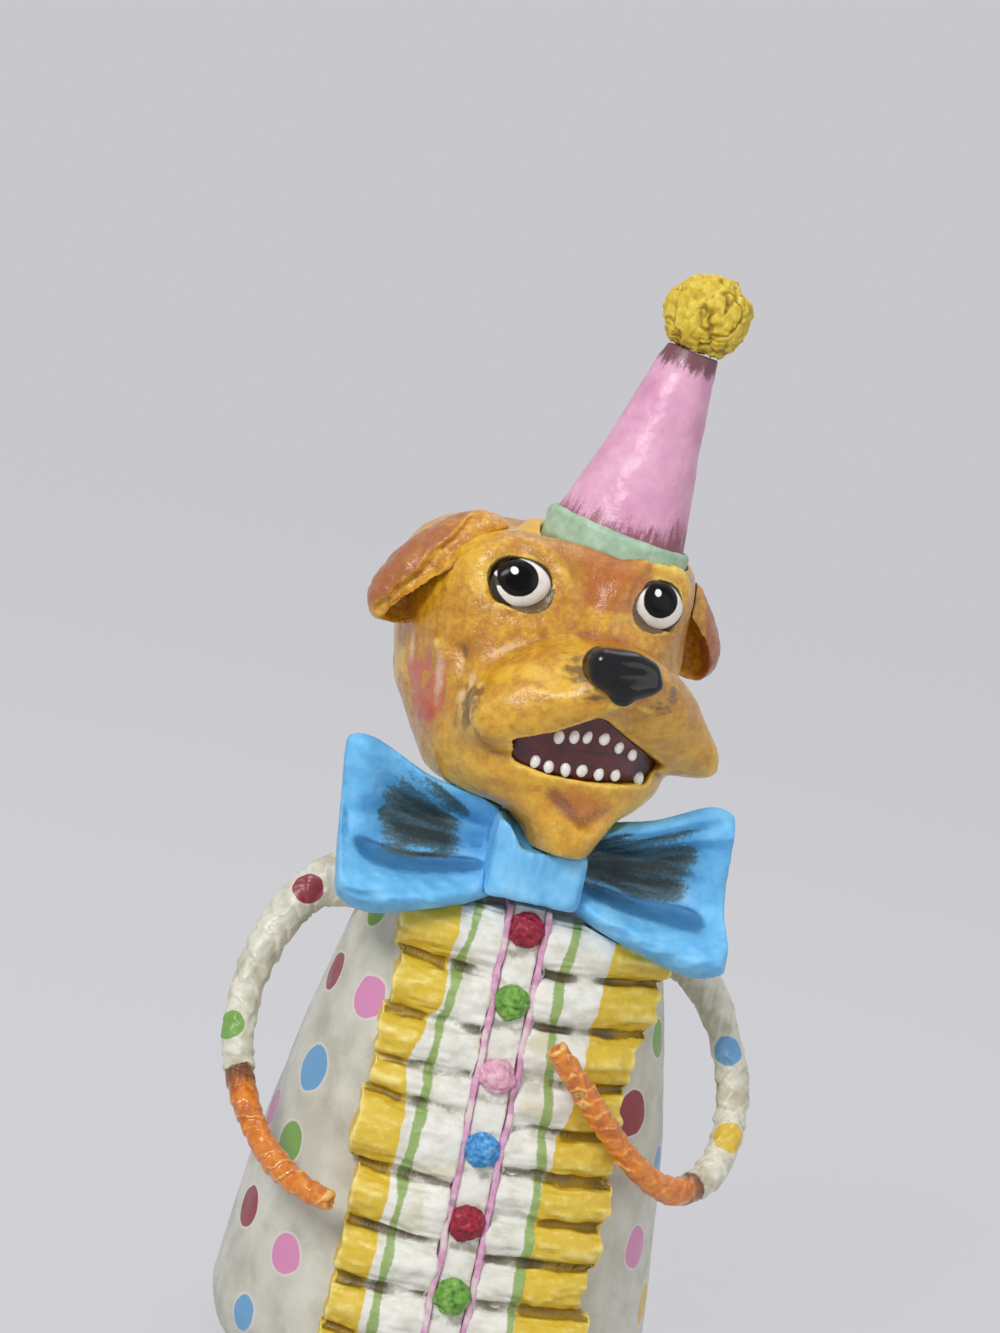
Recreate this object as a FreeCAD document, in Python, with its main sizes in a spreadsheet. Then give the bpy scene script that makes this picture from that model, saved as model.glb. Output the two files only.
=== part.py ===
"""Chalkware dog in a clown's dress: hollow cast body and head, applied trimmings and wrapped wire arms.

Millimetres, +Z up. The figure faces -Y and the origin is the centre of the felt under its foot.
Right and left are the figure's own, so its right arm is on the -X side.
"""

import FreeCAD, Part
import Sketcher
import math
import os

from FreeCAD import Placement, Rotation, Vector

SIZES = {
    # foot and hollow body
    "felt_thick": 1.5,
    "felt_inset": 1.5,
    "foot_radius": 41.5,
    "hem_radius": 44.0,
    "hem_rise": 12.0,
    "hem_round": 15.0,
    "side_round": 430.0,
    "shoulder_radius": 32.0,
    "shoulder_rise": 88.0,
    "shoulder_round": 22.5,
    "neck_radius": 12.5,
    "neck_base_rise": 106.0,
    "neck_top_rise": 127.0,
    "body_wall": 4.5,
    "pouring_radius": 30.0,
    "floor_thick": 5.0,
    "hollow_top_radius": 8.0,
    "hollow_top_rise": 98.0,
    "plug_clearance": 0.1,
    # neck peg
    "peg_radius": 4.0,
    "peg_clearance": 0.1,
    "peg_bottom_rise": 92.0,
    "peg_top_rise": 146.0,
    # shirt front
    "front_bottom_rise": 9.0,
    "front_top_rise": 102.0,
    "front_top_radius": 30.2,
    "front_half_width": 24.5,
    "placket_half_width": 3.1,
    "placket_thick": 1.4,
    "piping_width": 1.2,
    "piping_thick": 2.3,
    "ruffle_trough": 2.4,
    "button_radius": 3.4,
    "button_height": 3.0,
    "button_edge": 0.9,
    "button_sink": 3.0,
    "button_pitch": 13.9,
    "top_button_rise": 97.8,
    # bow tie
    "bow_rise": 110.9,
    "bow_side": 2.4,
    "bow_half_span": 38.3,
    "bow_height": 30.0,
    "bow_depth": 15.0,
    "bow_back": 22.5,
    "knot_half_width": 9.2,
    "knot_half_height": 7.6,
    "knot_thick": 14.5,
    "knot_round": 1.6,
    # head, measured from the point between the eyes on the head's own axis
    "eye_rise": 163.4,
    "head_side": 9.0,
    "head_forward": 5.8,
    "head_half_width": 28.5,
    "head_half_depth": 27.0,
    "chin_drop": 49.6,
    "crown_rise": 10.0,
    "muzzle_half_width": 25.6,
    "muzzle_side": 2.2,
    "muzzle_reach": 45.0,
    "muzzle_top_drop": 4.0,
    "muzzle_height": 30.0,
    "head_hollow_drop": 17.0,
    "head_hollow_half_height": 15.0,
    "head_hollow_radius": 10.0,
    "head_hollow_round": 16.3,
    # mouth
    "mouth_half_width": 16.2,
    "mouth_drop": 21.1,
    "mouth_height": 13.3,
    "lining_front": 35.2,
    "lining_back": 24.0,
    "lining_half_width": 25.0,
    "lining_height": 90.0,
    "tooth_radius": 1.25,
    # eyes, nose and ears
    "eye_side": 14.4,
    "eye_drop": 0.8,
    "eye_half_width": 6.0,
    "eye_half_height": 4.7,
    "eye_half_depth": 2.6,
    "eye_sink": 1.0,
    "nose_side": 0.8,
    "nose_half_width": 7.2,
    "nose_height": 9.2,
    "nose_drop": 8.3,
    "nose_front": 47.2,
    "nose_back": 41.0,
    "nose_round": 1.2,
    "ear_half_length": 15.8,
    "ear_half_width": 7.5,
    "ear_half_thick": 8.0,
    "ear_side": 25.3,
    "ear_forward": 5.0,
    "right_ear_drop": 1.5,
    "left_ear_drop": 3.8,
    "ear_rim": 2.6,
    "ear_scoop": 4.2,
    # hat
    "hat_side": 9.9,
    "hat_forward": 6.0,
    "hat_rise": 9.8,
    "hat_skirt": 6.0,
    "hat_base_radius": 13.4,
    "hat_waist_radius": 9.0,
    "hat_waist_rise": 19.0,
    "hat_top_radius": 5.2,
    "hat_height": 39.0,
    "hat_wall": 1.8,
    "band_radius": 14.7,
    "band_upper": 1.8,
    "band_round": 1.2,
    "pompom_radius": 8.7,
    "pompom_sink": 1.6,
    # arms
    "wire_radius": 0.8,
    "arm_shoulder_rise": 94.0,
    "right_arm_drop": 52.0,
    "left_arm_drop": 40.0,
    "arm_gap": 15.5,
    "wire_anchor": 8.0,
    "sleeve_radius": 3.6,
    "cuff_radius": 3.0,
    "paw_radius": 2.8,
    "paw_tip_radius": 1.6,
}

# Angles in degrees.
FULL_TURN = 360
HEAD_TURN = 16.1
HEAD_LEAN = -1.8
HAT_LEAN = 10.0
HAT_BACK = -4.0
EYE_SPLAY = 8.0
EYE_SLANT = 18.0
MOUTH_SLOPE = 24.0
EAR_SLANT = 44.0
EAR_TIP_FORWARD = 12.0
EAR_OPENING = 24.0

# The head's rings from chin to crown: level (of the chin's drop below the eyes, of the crown's rise
# above them), half width, half depth, forward shift and side shift.
HEAD_RING_SHARES = (
    (-1.00, 0.23, 0.19, 1.12, 0.00),
    (-0.93, 0.35, 0.34, 1.05, 0.00),
    (-0.85, 0.54, 0.53, 0.84, 0.00),
    (-0.78, 0.77, 0.89, 0.41, 0.00),
    (-0.66, 0.85, 1.02, 0.30, 0.00),
    (-0.52, 0.93, 1.04, 0.14, 0.00),
    (-0.28, 0.98, 1.01, 0.00, 0.00),
    (0.00, 1.02, 0.93, -0.03, 0.01),
    (0.50, 0.95, 0.86, -0.04, 0.06),
    (0.82, 0.66, 0.62, -0.04, 0.10),
    (1.00, 0.32, 0.30, -0.04, 0.12),
)
# A ring is an ellipse with fuller corners: where each of its eight points lies.
RING_CORNER_SHARE = 0.745
# The muzzle's sections from inside the head to the nose: reach, half width, top drop and height.
MUZZLE_SECTION_SHARES = (
    (0.22, 0.79, 0.00, 0.97),
    (0.40, 0.88, 0.06, 0.91),
    (0.555, 0.965, 0.13, 0.82),
    (0.71, 1.00, 0.165, 0.75),
    (0.845, 0.72, 0.15, 0.62),
    (0.935, 0.46, 0.15, 0.46),
    (1.00, 0.20, 0.20, 0.28),
)
# Half of a muzzle section, from its top: side and drop.
MUZZLE_OUTLINE_SHARES = ((0.0, 0.0), (0.52, 0.14), (0.86, 0.46), (1.0, 0.80), (0.74, 0.98), (0.34, 0.94))
MUZZLE_FLOOR_SHARE = 0.88
MOUTH_OUTLINE_SHARES = (
    (1.0, 0.64),
    (0.86, 0.96),
    (0.0, 1.0),
    (-0.45, 0.98),
    (-0.82, 0.88),
    (-1.0, 0.53),
    (-0.58, 0.30),
    (-0.20, 0.0),
    (-0.03, 0.03),
    (0.30, 0.24),
    (0.62, 0.42),
)
UPPER_TOOTH_SHARES = ((-0.47, 0.37), (-0.31, 0.33), (-0.16, 0.30), (0.04, 0.29), (0.27, 0.40), (0.49, 0.49))
LOWER_TOOTH_SHARES = (
    (-0.61, 0.80),
    (-0.45, 0.84),
    (-0.26, 0.84),
    (-0.07, 0.82),
    (0.15, 0.84),
    (0.37, 0.83),
    (0.74, 0.86),
)
NOSE_OUTLINE_SHARES = (
    (-0.80, 0.0),
    (0.80, 0.0),
    (1.0, 0.30),
    (0.84, 0.62),
    (0.30, 0.74),
    (0.18, 1.0),
    (-0.18, 1.0),
    (-0.30, 0.74),
    (-0.84, 0.62),
    (-1.0, 0.30),
)
# A bow wing's sections from the knot outwards: span, height, middle's lift and set back.
BOW_SECTION_SHARES = (
    (0.18, 0.50, 0.010, 0.00),
    (0.44, 0.70, -0.045, 0.02),
    (0.72, 0.92, -0.040, 0.06),
    (0.93, 1.00, 0.000, 0.14),
    (1.00, 0.90, 0.005, 0.20),
)
# How far the wings lean to one side, of their height.
BOW_LEAN_SHARE = -0.13
# A wing's depth where it leaves the knot, of its depth at its end.
KNOT_DEPTH_SHARE = 0.6
# A wing's section: depth from the back, and height about its middle. It is hollow in front.
BOW_OUTLINE_SHARES = (
    (0.10, 0.50),
    (0.62, 0.49),
    (0.62, 0.40),
    (0.42, 0.16),
    (0.46, -0.14),
    (0.80, -0.24),
    (1.00, -0.36),
    (0.80, -0.49),
    (0.30, -0.50),
    (0.00, -0.30),
    (0.00, 0.30),
)
# Where one pleat ends and the next begins, of the shirt front's length.
RIGHT_PLEAT_SHARES = (0.0, 0.085, 0.19, 0.305, 0.425, 0.57, 0.64, 0.735, 0.85, 0.985)
LEFT_PLEAT_SHARES = (0.0, 0.10, 0.20, 0.295, 0.38, 0.47, 0.56, 0.66, 0.77, 0.875, 0.985)
# How far a pleat's crest stands out of its troughs, of the pleat's own length.
PLEAT_CREST_SHARE = 0.28
# A ruffle's upright sections: side distance, and how far its troughs and crests stand out.
RUFFLE_SECTION_SHARES = ((0.00, 0.45, 0.20), (0.36, 0.55, 0.45), (0.68, 0.80, 0.80), (1.00, 1.00, 1.00))
# An arm's route: degrees from its side towards the front, gap to the body and drop.
RIGHT_ARM_SHARES = (
    (0.5, -0.26, 0.00),
    (1.5, 0.71, 0.07),
    (4.8, 0.89, 0.21),
    (8.1, 0.97, 0.35),
    (12.3, 0.99, 0.49),
    (17.7, 0.97, 0.62),
    (22.6, 0.93, 0.71),
    (32.2, 0.82, 0.86),
    (40.4, 0.77, 0.94),
    (49.8, 0.75, 0.99),
    (57.3, 0.74, 1.00),
)
LEFT_ARM_SHARES = (
    (1.5, -0.26, 0.00),
    (3.5, 0.38, 0.06),
    (5.1, 0.57, 0.16),
    (7.4, 0.74, 0.29),
    (10.5, 0.86, 0.44),
    (13.5, 0.92, 0.58),
    (17.8, 0.92, 0.74),
    (25.0, 0.87, 0.90),
    (34.5, 0.76, 1.00),
    (44.5, 0.67, 1.00),
    (55.5, 0.60, 0.87),
    (66.0, 0.58, 0.67),
    (74.5, 0.60, 0.50),
    (80.5, 0.66, 0.38),
)
RIGHT_CUFF_POINT = 6
LEFT_CUFF_POINT = 8
# The sleeve swells where it leaves the shoulder.
SHOULDER_SWELL_SHARES = (1.45, 1.25, 1.12, 1.0)

# How thick an ear is behind its hollow, of its rim.
EAR_BACK_SHARE = 0.5

BOTH_SIDES = ((-1, "right"), (1, "left"))

doc = FreeCAD.newDocument("chalkware_figure")
sheet = doc.addObject("Spreadsheet::Sheet", "sizes")
for row, (alias, number) in enumerate(SIZES.items(), start=1):
    sheet.set(f"A{row}", alias)
    sheet.set(f"B{row}", str(number))
    sheet.setAlias(f"B{row}", alias)
doc.recompute()


class Length:
    """A length in millimetres, with the formula that ties it to the sheet."""

    def __init__(self, value, formula):
        self.value = value
        self.formula = formula

    def __add__(self, other):
        return Length(self.value + other.value, f"({self.formula} + {other.formula})")

    def __sub__(self, other):
        return Length(self.value - other.value, f"({self.formula} - {other.formula})")

    def __mul__(self, share):
        return Length(self.value * share, f"({self.formula} * {share})")

    def __neg__(self):
        return self * -1


def cell(alias):
    return Length(float(sheet.get(alias)), f"sizes.{alias}")


def mm(alias):
    return cell(alias).value


NOTHING = Length(0.0, "0")
FAR = cell("hem_radius") + cell("eye_rise")


# Sketches and plain operations


def origin_plane(body, role):
    return next(plane for plane in body.Origin.OriginFeatures if plane.Role == role)


def edge_between(start, end, radius):
    """A line, or an arc of that radius which bulges to the right of the way it runs."""
    if radius is None:
        return Part.LineSegment(start, end)
    chord = end - start
    half = chord.Length / 2
    rise = radius - math.sqrt(radius**2 - half**2)
    outward = Vector(chord.y, -chord.x, 0).normalize()
    return Part.Arc(start, (start + end) / 2 + outward * rise, end)


def tie(sketch, kind, places, length, name):
    """A dimension of the sketch that follows a formula."""
    index = sketch.addConstraint(Sketcher.Constraint(kind, *places, length.value))
    sketch.renameConstraint(index, name)
    sketch.setExpression(f"Constraints.{name}", length.formula)


def draw_outline(sketch, corners, rounds):
    """A closed outline through the corners. rounds gives the radius of each edge that is an arc."""
    points = [Vector(x.value, y.value, 0) for x, y in corners]
    ends = []
    for index, start in enumerate(points):
        after = points[(index + 1) % len(points)]
        radius = rounds.get(index)
        sketch.addGeometry(edge_between(start, after, radius and radius.value))
        drawn = sketch.Geometry[index]
        forward = drawn.StartPoint.distanceToPoint(start) < drawn.EndPoint.distanceToPoint(start)
        ends.append((1, 2) if forward else (2, 1))
    for index, (x, y) in enumerate(corners):
        sketch.addConstraint(Sketcher.Constraint("Coincident", index - 1 if index else len(points) - 1,
                                                 ends[index - 1][1], index, ends[index][0]))
        for kind, axis, length in (("DistanceX", -2, x), ("DistanceY", -1, y)):
            if length.value == 0:
                sketch.addConstraint(Sketcher.Constraint("PointOnObject", index, ends[index][0], axis))
            else:
                tie(sketch, kind, (-1, 1, index, ends[index][0]), length, f"{kind}_{index}")
        if index in rounds:
            tie(sketch, "Radius", (index,), rounds[index], f"Round_{index}")


def body_with_outline(name, role, corners, rounds):
    body = doc.addObject("PartDesign::Body", name)
    sketch = body.newObject("Sketcher::SketchObject", f"{name}_outline")
    sketch.AttachmentSupport = [(origin_plane(body, role), "")]
    sketch.MapMode = "FlatFace"
    draw_outline(sketch, corners, rounds)
    return body, sketch


def turned(name, corners, rounds=None):
    """A body turned about the vertical axis from an outline of (radius, height) corners."""
    body, sketch = body_with_outline(name, "XZ_Plane", corners, rounds or {})
    turn = body.newObject("PartDesign::Revolution", f"{name}_turn")
    turn.Profile = sketch
    turn.ReferenceAxis = (sketch, ["V_Axis"])
    turn.Angle = FULL_TURN
    body.Tip = turn
    doc.recompute()
    return body


def rounded_edges(body, name, chosen, radius):
    """Rounds the edges of the body's tip that chosen picks."""
    base = body.Tip
    fillet = body.newObject("PartDesign::Fillet", name)
    fillet.Base = (base, [f"Edge{n}" for n, edge in enumerate(base.Shape.Edges, start=1) if chosen(edge)])
    fillet.setExpression("Radius", radius.formula)
    body.Tip = fillet
    doc.recompute()
    return body


def combined(kind, name, base, tool):
    result = doc.addObject(f"Part::{kind}", name)
    result.Base = base
    result.Tool = tool
    doc.recompute()
    return result


def less(name, base, *tools):
    """base with each tool taken out of it in turn."""
    for number, tool in enumerate(tools, start=1):
        last = number == len(tools)
        base = combined("Cut", name if last else f"{name}_less_{tool.Name}", base, tool)
    return base


def shaped(name, shape, placement=None):
    """A piece whose shape is worked out here."""
    piece = doc.addObject("Part::Feature", name)
    piece.Shape = shape
    if placement is not None:
        piece.Placement = placement
    doc.recompute()
    return piece


def ellipsoid(name, side, depth, height, placement):
    """An ellipsoid with those three half sizes."""
    bead = doc.addObject("Part::Ellipsoid", name)
    bead.setExpression("Radius1", height.formula)
    bead.setExpression("Radius2", side.formula)
    bead.setExpression("Radius3", depth.formula)
    bead.Angle1 = -FULL_TURN / 4
    bead.Placement = placement
    doc.recompute()
    return bead


def cylinder(name, radius, bottom, top):
    peg = doc.addObject("Part::Cylinder", name)
    peg.setExpression("Radius", radius.formula)
    peg.setExpression("Height", (top - bottom).formula)
    peg.setExpression("Placement.Base.z", bottom.formula)
    doc.recompute()
    return peg


def slab(name, low, high):
    """A block between two corners, each three lengths."""
    block = doc.addObject("Part::Box", name)
    for side, axis, a, b in zip(("Length", "Width", "Height"), "xyz", low, high):
        block.setExpression(side, (b - a).formula)
        block.setExpression(f"Placement.Base.{axis}", a.formula)
    doc.recompute()
    return block


def closed_curve(points):
    curve = Part.BSplineCurve()
    curve.interpolate(points, PeriodicFlag=True)
    return Part.Wire(curve.toShape())


def dome_radius(radius, rise):
    """The radius of a dome that stands that far out of a round of that radius."""
    value = (radius.value**2 + rise.value**2) / (2 * rise.value)
    return Length(value, f"(({radius.formula}^2 + {rise.formula}^2) / (2 * {rise.formula}))")


def front_of(shape, x, z):
    """Where a line that comes from the front at (x, z) first meets the shape."""
    line = Part.makeLine(Vector(x, -FAR.value, z), Vector(x, FAR.value, z))
    return shape.common(line).BoundBox.YMin


# Body


def body_outline(extra):
    """The body's outer outline, with that much added all round, and the radii of its arcs."""
    corners = [
        (NOTHING, cell("felt_thick")),
        (cell("foot_radius") + extra, cell("felt_thick")),
        (cell("hem_radius") + extra, cell("hem_rise")),
        (cell("shoulder_radius") + extra, cell("shoulder_rise")),
        (cell("neck_radius") + extra, cell("neck_base_rise")),
        (cell("neck_radius") + extra, cell("neck_top_rise")),
        (NOTHING, cell("neck_top_rise")),
    ]
    rounds = {1: cell("hem_round"), 2: cell("side_round"), 3: cell("shoulder_round") + extra}
    return corners, rounds


def make_body_form():
    """The body's outer form, solid: it also cuts the seat of everything that lies on the body."""
    return turned("body_form", *body_outline(NOTHING))


def make_hollow():
    wall = cell("body_wall")
    floor = cell("felt_thick") + cell("floor_thick")
    return turned(
        "body_hollow",
        [
            (NOTHING, cell("felt_thick")),
            (cell("pouring_radius"), cell("felt_thick")),
            (cell("pouring_radius"), floor),
            (cell("hem_radius") - wall, cell("hem_rise")),
            (cell("shoulder_radius") - wall, cell("shoulder_rise")),
            (cell("hollow_top_radius"), cell("hollow_top_rise")),
            (NOTHING, cell("hollow_top_rise")),
        ],
    )


def make_base():
    """The plug in the pouring hole, and the felt under the foot."""
    floor = cell("felt_thick") + cell("floor_thick")
    plug_radius = cell("pouring_radius") - cell("plug_clearance")
    plug = turned(
        "base_plug",
        [
            (NOTHING, cell("felt_thick")),
            (plug_radius, cell("felt_thick")),
            (plug_radius, floor),
            (NOTHING, floor),
        ],
    )
    felt_radius = cell("foot_radius") - cell("felt_inset")
    felt = turned(
        "felt_pad",
        [
            (NOTHING, NOTHING),
            (felt_radius, NOTHING),
            (felt_radius, cell("felt_thick")),
            (NOTHING, cell("felt_thick")),
        ],
    )
    return [plug, felt]


def body_radius(form, height):
    """The body's radius at a height."""
    return -front_of(form.Shape, 0.0, height)


# Shirt front


def front_outline(extra):
    """The shirt front hangs straight from the bow tie, where the shoulder turns in behind it."""
    corners, rounds = body_outline(extra)
    top = cell("front_top_rise")
    corners = [*corners[:4], (cell("front_top_radius") + extra, top), (NOTHING, top)]
    return corners, {1: rounds[1], 2: rounds[2]}


def strip(name, extra, inner, outer):
    """A strip of that thickness on the body's front, from one side distance to another."""
    skin = turned(f"{name}_skin", *front_outline(extra))
    window = slab(
        f"{name}_window",
        (inner, -FAR, cell("front_bottom_rise")),
        (outer, NOTHING, cell("front_top_rise")),
    )
    return combined("Common", f"{name}_strip", skin, window)


def make_placket(form):
    half = cell("placket_half_width")
    placket = less("placket", strip("placket", cell("placket_thick"), -half, half), form)
    edge = half + cell("piping_width")
    right = less("piping_right", strip("piping_right", cell("piping_thick"), -edge, -half), form)
    left = less("piping_left", strip("piping_left", cell("piping_thick"), half, edge), form)
    return placket, [right, left]


def pleat_section(front, x, pleat_shares, trough, crest_share):
    """A closed upright section at that side distance: one arc for each pleat, straight at the back."""
    bottom = mm("front_bottom_rise")
    length = mm("front_top_rise") - bottom

    def point(share, stand):
        height = bottom + share * length
        reach = body_radius(front, height) + stand
        return Vector(x, -math.sqrt(reach**2 - x**2), height)

    edges = []
    for low, high in zip(pleat_shares, pleat_shares[1:]):
        crest = trough + crest_share * (high - low) * length
        middle = point((low + high) / 2, crest)
        edges.append(Part.Arc(point(low, trough), middle, point(high, trough)).toShape())
    behind = [point(pleat_shares[-1], -mm("body_wall")), point(0.0, -mm("body_wall"))]
    corners = [edges[-1].Vertexes[-1].Point, *behind, edges[0].Vertexes[0].Point]
    edges += [Part.makeLine(a, b) for a, b in zip(corners, corners[1:])]
    return Part.Wire(edges)


def make_ruffle(form, front, wing, side, name, pleat_shares):
    """One pleated half of the shirt front: from the piping out to its free edge, and up to the bow's wing."""
    wires = []
    for out, trough_share, crest_share in RUFFLE_SECTION_SHARES:
        trough = mm("ruffle_trough") * trough_share
        x = side * out * mm("front_half_width")
        wires.append(pleat_section(front, x, pleat_shares, trough, crest_share * PLEAT_CREST_SHARE))
    cloth = shaped(f"{name}_cloth", Part.makeLoft(wires, True, False))
    edge = cell("placket_half_width") + cell("piping_width")
    middle = slab(f"{name}_middle", (-edge, -FAR, NOTHING), (edge, NOTHING, FAR))
    return less(name, cloth, form, middle, wing)


def make_buttons(form, placket, pipings):
    buttons = []
    count = int((mm("top_button_rise") - mm("front_bottom_rise")) / mm("button_pitch")) + 1
    for number in range(count):
        height = mm("top_button_rise") - number * mm("button_pitch")
        seat = Vector(0, front_of(placket.Shape, 0.0, height), height)
        bead = turned(
            f"button_{number + 1}_bead",
            [
                (NOTHING, -cell("button_sink")),
                (cell("button_radius"), -cell("button_sink")),
                (cell("button_radius"), cell("button_edge")),
                (NOTHING, cell("button_height")),
            ],
            {2: dome_radius(cell("button_radius"), cell("button_height") - cell("button_edge"))},
        )
        bead.Placement = Placement(seat, Rotation(Vector(1, 0, 0), FULL_TURN / 4))
        buttons.append(less(f"button_{number + 1}", bead, form, placket, *pipings))
    return buttons


# Head


def head_placement():
    centre = Vector(-mm("head_side"), -mm("head_forward"), mm("eye_rise"))
    return Placement(centre, Rotation(Vector(0, 0, 1), HEAD_TURN) * Rotation(Vector(0, 1, 0), HEAD_LEAN))


def ring(level, half_width, half_depth, forward, side):
    """A level ring with eight points, fuller at its corners than an ellipse."""
    corner = RING_CORNER_SHARE
    unit = ((0, 1), (corner, corner), (1, 0), (corner, -corner), (0, -1), (-corner, -corner), (-1, 0),
            (-corner, corner))
    return closed_curve([Vector(side + x * half_width, -forward - y * half_depth, level) for x, y in unit])


def make_skull():
    rings = []
    across = mm("head_half_width")
    deep = mm("head_half_depth")
    for level, width, depth, forward, side in HEAD_RING_SHARES:
        reach = mm("chin_drop") if level < 0 else mm("crown_rise")
        rings.append(ring(level * reach, width * across, depth * deep, forward * deep, side * across))
    return Part.makeLoft(rings, True, False)


def make_muzzle():
    sections = []
    for reach, width, top, height in MUZZLE_SECTION_SHARES:
        y = -reach * mm("muzzle_reach")
        z = -mm("muzzle_top_drop") - top * mm("muzzle_height")
        half = width * mm("muzzle_half_width")
        drop = height * mm("muzzle_height")
        middle = reach * mm("muzzle_side")
        outline = [*MUZZLE_OUTLINE_SHARES, (0.0, MUZZLE_FLOOR_SHARE)]
        outline += [(-x, d) for x, d in reversed(MUZZLE_OUTLINE_SHARES[1:])]
        sections.append(closed_curve([Vector(middle + x * half, y, z - d * drop) for x, d in outline]))
    return Part.makeLoft(sections, True, False)


def make_head_hollow(place):
    """The casting's hollow: round, and widest halfway up."""
    radius, half = cell("head_hollow_radius"), cell("head_hollow_half_height")
    hollow = turned(
        "head_hollow",
        [(NOTHING, -half), (radius, -half), (radius, half), (NOTHING, half)],
        {1: cell("head_hollow_round")},
    )
    hollow.Placement = place * Placement(Vector(0, 0, -mm("head_hollow_drop")), Rotation())
    return hollow


def mouth_block(place):
    """A block with the mouth's outline that runs from behind the lining out of the face."""
    points = [
        Vector(x * mm("mouth_half_width"), -mm("lining_back"), -mm("mouth_drop") - d * mm("mouth_height"))
        for x, d in MOUTH_OUTLINE_SHARES
    ]
    face = Part.Face(Part.makePolygon([*points, points[0]]))
    return shaped("mouth_block", face.extrude(Vector(0, -mm("head_half_width"), 0)), place)


def lining_round(place):
    """The round that the mouth's lining is part of: upright, and sloping back towards the chin."""
    unit = Part.makeCylinder(1, 1).translated(Vector(0, 0, -1 / 2))
    centre = mm("lining_back") / 2
    sizes = FreeCAD.Matrix()
    sizes.scale(mm("lining_half_width"), mm("lining_front") - centre, mm("lining_height"))
    middle = Vector(0, -centre, -mm("mouth_drop") - mm("mouth_height") / 2)
    slope = Placement(middle, Rotation(Vector(1, 0, 0), MOUTH_SLOPE))
    return shaped("lining_round", unit.transformGeometry(sizes), place * slope)


def make_teeth(name, lining, place, shares):
    """Beads of white along one edge of the mouth, seated on the lining."""
    flat = lining.Shape.transformed(place.inverse().toMatrix())
    beads = []
    for side, drop in shares:
        x = side * mm("mouth_half_width")
        z = -mm("mouth_drop") - drop * mm("mouth_height")
        beads.append(Part.makeSphere(mm("tooth_radius"), Vector(x, front_of(flat, x, z), z)))
    return less(name, shaped(f"{name}_beads", Part.makeCompound(beads), place), lining)


def make_eye(face, place, side, name):
    x = side * mm("eye_side")
    flat = face.Shape.transformed(place.inverse().toMatrix())
    turn = Rotation(Vector(0, 0, 1), side * EYE_SPLAY) * Rotation(Vector(0, 1, 0), side * EYE_SLANT)
    z = -mm("eye_drop")
    seat = Placement(Vector(x, front_of(flat, x, z) + mm("eye_sink"), z), turn)
    return ellipsoid(name, cell("eye_half_width"), cell("eye_half_depth"), cell("eye_half_height"), place * seat)


def make_nose(face, place):
    half = cell("nose_half_width")
    corners = [
        (half * x - cell("nose_side"), -cell("nose_drop") - cell("nose_height") * d)
        for x, d in reversed(NOSE_OUTLINE_SHARES)
    ]
    body, sketch = body_with_outline("nose_block", "XZ_Plane", corners, {})
    pad = body.newObject("PartDesign::Pad", "nose_pad")
    pad.Profile = sketch
    pad.setExpression("Length", (cell("nose_front") - cell("nose_back")).formula)
    body.Tip = pad
    doc.recompute()
    rounded_edges(body, "nose_rounds", lambda edge: edge.BoundBox.YMax < 0, cell("nose_round"))
    body.Placement = place * Placement(Vector(0, -mm("nose_back"), 0), Rotation())
    return less("nose", body, face)


def make_ear(face, hat_seat, place, side, name):
    """A folded ear: an egg with its front scooped out, set against the side of the head."""
    length, width, thick = cell("ear_half_length"), cell("ear_half_width"), cell("ear_half_thick")
    slant = Rotation(Vector(0, 1, 0), -side * EAR_SLANT) * Rotation(Vector(1, 0, 0), EAR_TIP_FORWARD)
    drop = mm("left_ear_drop") if side > 0 else mm("right_ear_drop")
    seat = place * Placement(Vector(side * mm("ear_side"), -mm("ear_forward"), -drop), slant)
    egg = ellipsoid(f"{name}_egg", width, thick, length, seat)
    rim = cell("ear_rim")
    turn = Rotation(Vector(0, 0, 1), -side * EAR_OPENING)
    lower = Vector(-side * mm("ear_rim"), -mm("ear_scoop"), -mm("ear_rim") / 2)
    scoop_seat = seat * Placement(lower, turn)
    scoop = ellipsoid(f"{name}_scoop", width - rim, thick - rim * EAR_BACK_SHARE, length - rim, scoop_seat)
    return less(name, egg, scoop, face, hat_seat)


# Hat


def hat_placement(place):
    centre = Vector(mm("hat_side"), -mm("hat_forward"), mm("hat_rise"))
    return place * Placement(centre, Rotation(Vector(0, 1, 0), HAT_LEAN) * Rotation(Vector(1, 0, 0), -HAT_BACK))


def hat_body(name, place, corners, rounds=None):
    body = turned(name, corners, rounds)
    body.Placement = place
    return body


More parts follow.
